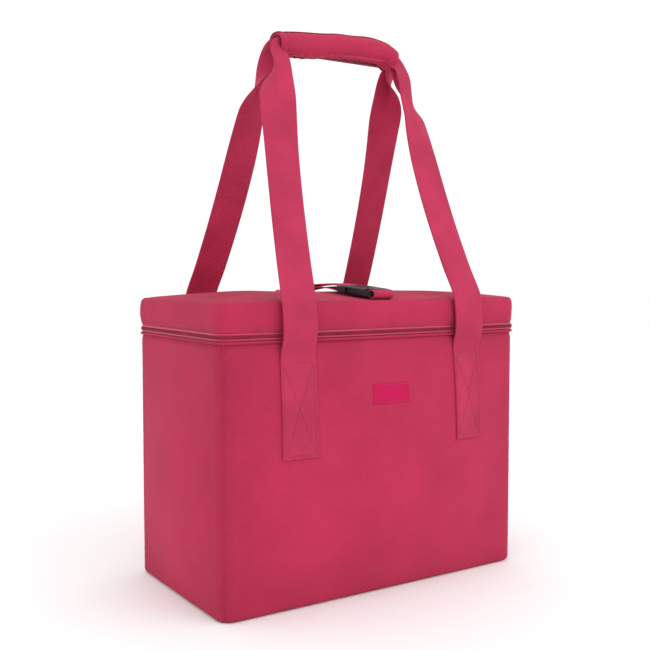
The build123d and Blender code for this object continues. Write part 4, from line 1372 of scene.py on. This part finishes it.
# ---- Label, loop, buckle and strap
class TOTE_OT_label(bpy.types.Operator):
    """Blank woven label with a sewn border"""

    bl_idname = "tote.label"
    bl_label = "Label"

    def execute(self, context):
        scene = context.scene
        sizes = scene.tote_sizes
        made = finishes(scene.tote_colours)
        half = (LABEL_HIGH[0] - LABEL_LOW[0]) / 2
        low, high = LABEL_LOW[2], LABEL_HIGH[2]

        def lift(x, z, height):
            turn = turn_at(0, 0.0) + x / WIDTH
            points, normal = wall_surface(turn, z, sizes)
            points[:, 0] = x
            return points + normal * height[:, None]

        def place(u, v):
            x = (2 * u - 1) * half
            z = low + v * (high - low)
            rim_way = np.minimum(np.minimum(u, 1 - u) * 2 * half, np.minimum(v, 1 - v) * (high - low))
            return lift(x, z, 0.00075 - 0.0004 * np.exp(-((rim_way / 0.0007) ** 2)))

        label = grid_piece("front_label", 60, 26, place, (2 * half, high - low))
        thicken(label, 0.0006)
        smooth(label)
        finish_piece(label, made["label"], "bag_body", ["label_patch"])
        inset = 0.0017
        corners = [(-half + inset, low + inset), (half - inset, low + inset), (half - inset, high - inset),
                   (-half + inset, high - inset), (-half + inset, low + inset)]
        points = []
        for (x0, z0), (x1, z1) in zip(corners, corners[1:]):
            for share in np.linspace(0, 1, 20, endpoint=False):
                points.append((x0 + (x1 - x0) * share, z0 + (z1 - z0) * share))
        points = np.array(points + [corners[0]])
        path = lift(points[:, 0], points[:, 1], np.full(len(points), 0.00075))
        stitch_row("label_stitches", path, np.tile([0.0, -1.0, 0.0], (len(path), 1)), sizes,
                   made["thread"], "bag_body", sink=0.5)
        return {"FINISHED"}


SLOPE = np.arctan2(CROWN_RISE, CROWN_RUN)
BUCKLE_SLOPE = np.array([0.0, np.cos(SLOPE), np.sin(SLOPE)])
BUCKLE_OUT = np.array([0.0, -np.sin(SLOPE), np.cos(SLOPE)])
BAR_FROM_EDGE = 0.0067
BAR_ABOVE_LID = 0.0056
STRAP_BAR = 0.05775
TAIL_RISE = 0.0032
SEWN_BACK = DEPTH / 2 - 0.003
SEWN_LENGTH = 0.024


def buckle_origin():
    """Middle of the bar that the webbing loop holds."""
    y = -DEPTH / 2 + BAR_FROM_EDGE
    return np.array([0.0, y, lid_height(y)]) + BUCKLE_OUT * BAR_ABOVE_LID


def on_buckle(along, out):
    """A point of the buckle's own plane, as Y and Z."""
    point = buckle_origin() + BUCKLE_SLOPE * along + BUCKLE_OUT * out
    return point[1], point[2]


def lid_height(y):
    from_edge = DEPTH / 2 + MOUTH_BOW - abs(y)
    return LID_EDGE + min(CROWN_RISE, from_edge * CROWN_RISE / CROWN_RUN)


def strap_line(strap):
    """Middle line of the strap from its sewn end, round the buckle's bar, to its free tail."""
    lift = 0.0002 + strap / 2
    front_of_seam = SEWN_BACK - SEWN_LENGTH
    turn = [on_buckle(STRAP_BAR + TAIL_RISE * np.cos(np.radians(a)), TAIL_RISE * np.sin(np.radians(a)))
            for a in range(270, 80, -45)]
    turn = [
        on_buckle(STRAP_BAR + 0.006, -TAIL_RISE), *turn, on_buckle(STRAP_BAR + 0.008, TAIL_RISE + 0.0006)]
    slack = front_of_seam - turn[1][0]
    points = [(SEWN_BACK - SEWN_LENGTH * share, 0.0) for share in (0, 0.33, 0.67, 1)]
    points = [(y, lid_height(y) + lift) for y, _ in points]
    for share, rise in ((0.25, 0.0026), (0.55, 0.0030), (0.8, 0.0024)):
        y = front_of_seam - slack * share
        points.append((y, lid_height(y) + lift + rise))
    points += turn
    for share, rise in ((0.65, 0.0072), (0.4, 0.0070), (0.12, 0.0062)):
        y = front_of_seam - slack * share
        points.append((y, lid_height(y) + lift + rise))
    for y, rise in ((-0.009, 0.0056), (-0.001, 0.0052), (0.003, 0.0070)):
        points.append((SEWN_BACK + y, lid_height(SEWN_BACK) + rise))
    return points


class TOTE_OT_buckle(bpy.types.Operator):
    """Webbing loop, side-release buckle and the strap that runs back over the lid"""

    bl_idname = "tote.buckle"
    bl_label = "Buckle and strap"

    def execute(self, context):
        scene = context.scene
        sizes = scene.tote_sizes
        made = finishes(scene.tote_colours)
        strap = 0.0016
        line = [(0.0, y, z, 0.0, 0.0, 1.0, 0.0, 0.0) for y, z in strap_line(strap)]
        strip, _ = webbing_strip("lid_strap_webbing", line, 220, 10, sizes.strap_width, strap * 0.9)
        bar_y = on_buckle(STRAP_BAR, 0)[0]
        finish_piece(
            strip, made["webbing"], "lid", ["lid_strap"],
            blend=("lid", "buckle_female", (0, SEWN_BACK - SEWN_LENGTH, 0.315), (0, bar_y + 0.006, 0.315)))
        edge = sizes.strap_width / 2 - 0.0025
        back, front = SEWN_BACK - 0.003, SEWN_BACK - SEWN_LENGTH + 0.003
        corners = [(-edge, back), (edge, back), (edge, front), (-edge, front), (-edge, back), (edge, front)]
        points = []
        for (x0, y0), (x1, y1) in zip(corners, corners[1:]):
            for share in np.linspace(0, 1, 16, endpoint=False):
                y = y0 + (y1 - y0) * share
                points.append((x0 + (x1 - x0) * share, y, lid_height(y) + 0.0002 + strap * 0.95))
        points = np.array(points)
        stitch_row("lid_strap_stitches", points, np.tile([0.0, 0.0, 1.0], (len(points), 1)), sizes,
                   made["thread"], "lid", sink=0.4)

        half_length, half_height, width = 0.0065, 0.0046, LOOP_HIGH[0] - LOOP_LOW[0]

        def place_loop(u, v):
            angle = np.pi / 2 - u * 2 * np.pi
            foot = np.clip(-np.sin(angle), 0, 1) ** 6 * 0.0008
            y = (half_length - strap / 2) * np.cos(angle)
            z = (half_height - strap / 2) * np.sin(angle) - foot
            x = (v - 0.5) * width
            middle = buckle_origin()[None, :]
            return (middle + BUCKLE_SLOPE[None, :] * y[:, None] + BUCKLE_OUT[None, :] * z[:, None]
                    + np.stack([x, np.zeros_like(x), np.zeros_like(x)], axis=1))

        loop = grid_piece("buckle_webbing_loop", 56, 12, place_loop, (0.036, width))
        close_seams(loop)
        face_side(loop, buckle_origin())
        thicken(loop, strap, 0.0)
        round_edges(loop, strap * 0.28, 2)
        smooth(loop, 50)
        finish_piece(loop, made["webbing"], "lid", ["buckle_loop"])
        for node in ("buckle_male", "buckle_female"):
            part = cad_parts[node]
            part.data.materials.clear()
            part.data.materials.append(made["buckle"])
        return {"FINISHED"}


# ---- Stage
def area_light(name, place, aim, size, power, colour=(1, 1, 1)):
    light = bpy.data.lights.new(name, "AREA")
    light.shape = "RECTANGLE"
    light.size, light.size_y = size
    light.energy = power
    light.color = colour
    lamp = bpy.data.objects.new(name, light)
    lamp.location = place
    lamp.rotation_euler = (Vector(aim) - Vector(place)).to_track_quat("-Z", "Y").to_euler()
    bpy.context.collection.objects.link(lamp)


class TOTE_OT_stage(bpy.types.Operator):
    """Pale floor, soft lights and the camera"""

    bl_idname = "tote.stage"
    bl_label = "Stage"

    def execute(self, context):
        scene = context.scene
        stage = scene.tote_stage
        deselect()
        bpy.ops.mesh.primitive_plane_add(size=24, location=(0, 0, 0))
        floor = context.object
        floor.name = "stage_floor"
        paper = Nodes("pale_paper")
        tone = paper.noise(paper.coordinates("Object"), 3.0, 2.0)
        tint = paper.ramp(tone, 0.3, 0.7, ((0.93, 0.93, 0.93), (0.95, 0.95, 0.95)))
        floor.data.materials.append(paper.finish(tint, None, 0.9, specular_ior_level=0.1))

        world = bpy.data.worlds.new("white_studio")
        world.use_nodes = True
        world.node_tree.nodes["Background"].inputs["Color"].default_value = (1, 1, 1, 1)
        world.node_tree.nodes["Background"].inputs["Strength"].default_value = stage.world_strength
        scene.world = world
        area_light("key_light", (0.7, -1.5, 1.5), (0, 0, 0.25), (1.6, 1.2), stage.key_power)
        area_light("fill_light", (-1.6, -0.5, 0.9), (0, 0, 0.25), (1.2, 1.2), stage.fill_power)
        area_light("top_light", (-0.1, 0.3, 1.9), (0, 0, 0.3), (1.2, 1.2), stage.fill_power * 1.4)

        lens = bpy.data.cameras.new("view_camera")
        lens.sensor_width = 36
        lens.lens = stage.lens
        camera = bpy.data.objects.new("view_camera", lens)
        camera.location = stage.camera_place
        camera.rotation_euler = (np.pi / 2 - stage.camera_pitch, 0, stage.camera_yaw)
        scene.collection.objects.link(camera)
        scene.camera = camera
        scene.view_settings.view_transform = "Standard"
        return {"FINISHED"}


class TOTE_PT_panel(bpy.types.Panel):
    """Sidebar list of the bag's makers"""

    bl_idname = "TOTE_PT_panel"
    bl_label = "Insulated tote"
    bl_space_type = "VIEW_3D"
    bl_region_type = "UI"
    bl_category = "Tote"

    def draw(self, context):
        for operator in MAKERS:
            self.layout.operator(operator.bl_idname)
        for group in (context.scene.tote_sizes, context.scene.tote_colours, context.scene.tote_stage):
            box = self.layout.box()
            for name in group.bl_rna.properties.keys():
                if name not in ("rna_type", "name"):
                    box.prop(group, name)


MAKERS = (TOTE_OT_stage, TOTE_OT_walls, TOTE_OT_mouth, TOTE_OT_zip, TOTE_OT_lid, TOTE_OT_lining,
          TOTE_OT_handles, TOTE_OT_grip, TOTE_OT_label, TOTE_OT_buckle)
GROUPS = (ToteColours, ToteSizes, ToteStage)


def register():
    for cls in (*GROUPS, *MAKERS, TOTE_PT_panel):
        bpy.utils.register_class(cls)
    bpy.types.Scene.tote_colours = PointerProperty(type=ToteColours)
    bpy.types.Scene.tote_sizes = PointerProperty(type=ToteSizes)
    bpy.types.Scene.tote_stage = PointerProperty(type=ToteStage)


def unregister():
    del bpy.types.Scene.tote_stage
    del bpy.types.Scene.tote_sizes
    del bpy.types.Scene.tote_colours
    for cls in (TOTE_PT_panel, *reversed(MAKERS), *reversed(GROUPS)):
        bpy.utils.unregister_class(cls)


def main():
    register()
    for maker in MAKERS:
        family, name = maker.bl_idname.split(".")
        getattr(getattr(bpy.ops, family), name)()


if __name__ == "__main__":
    main()
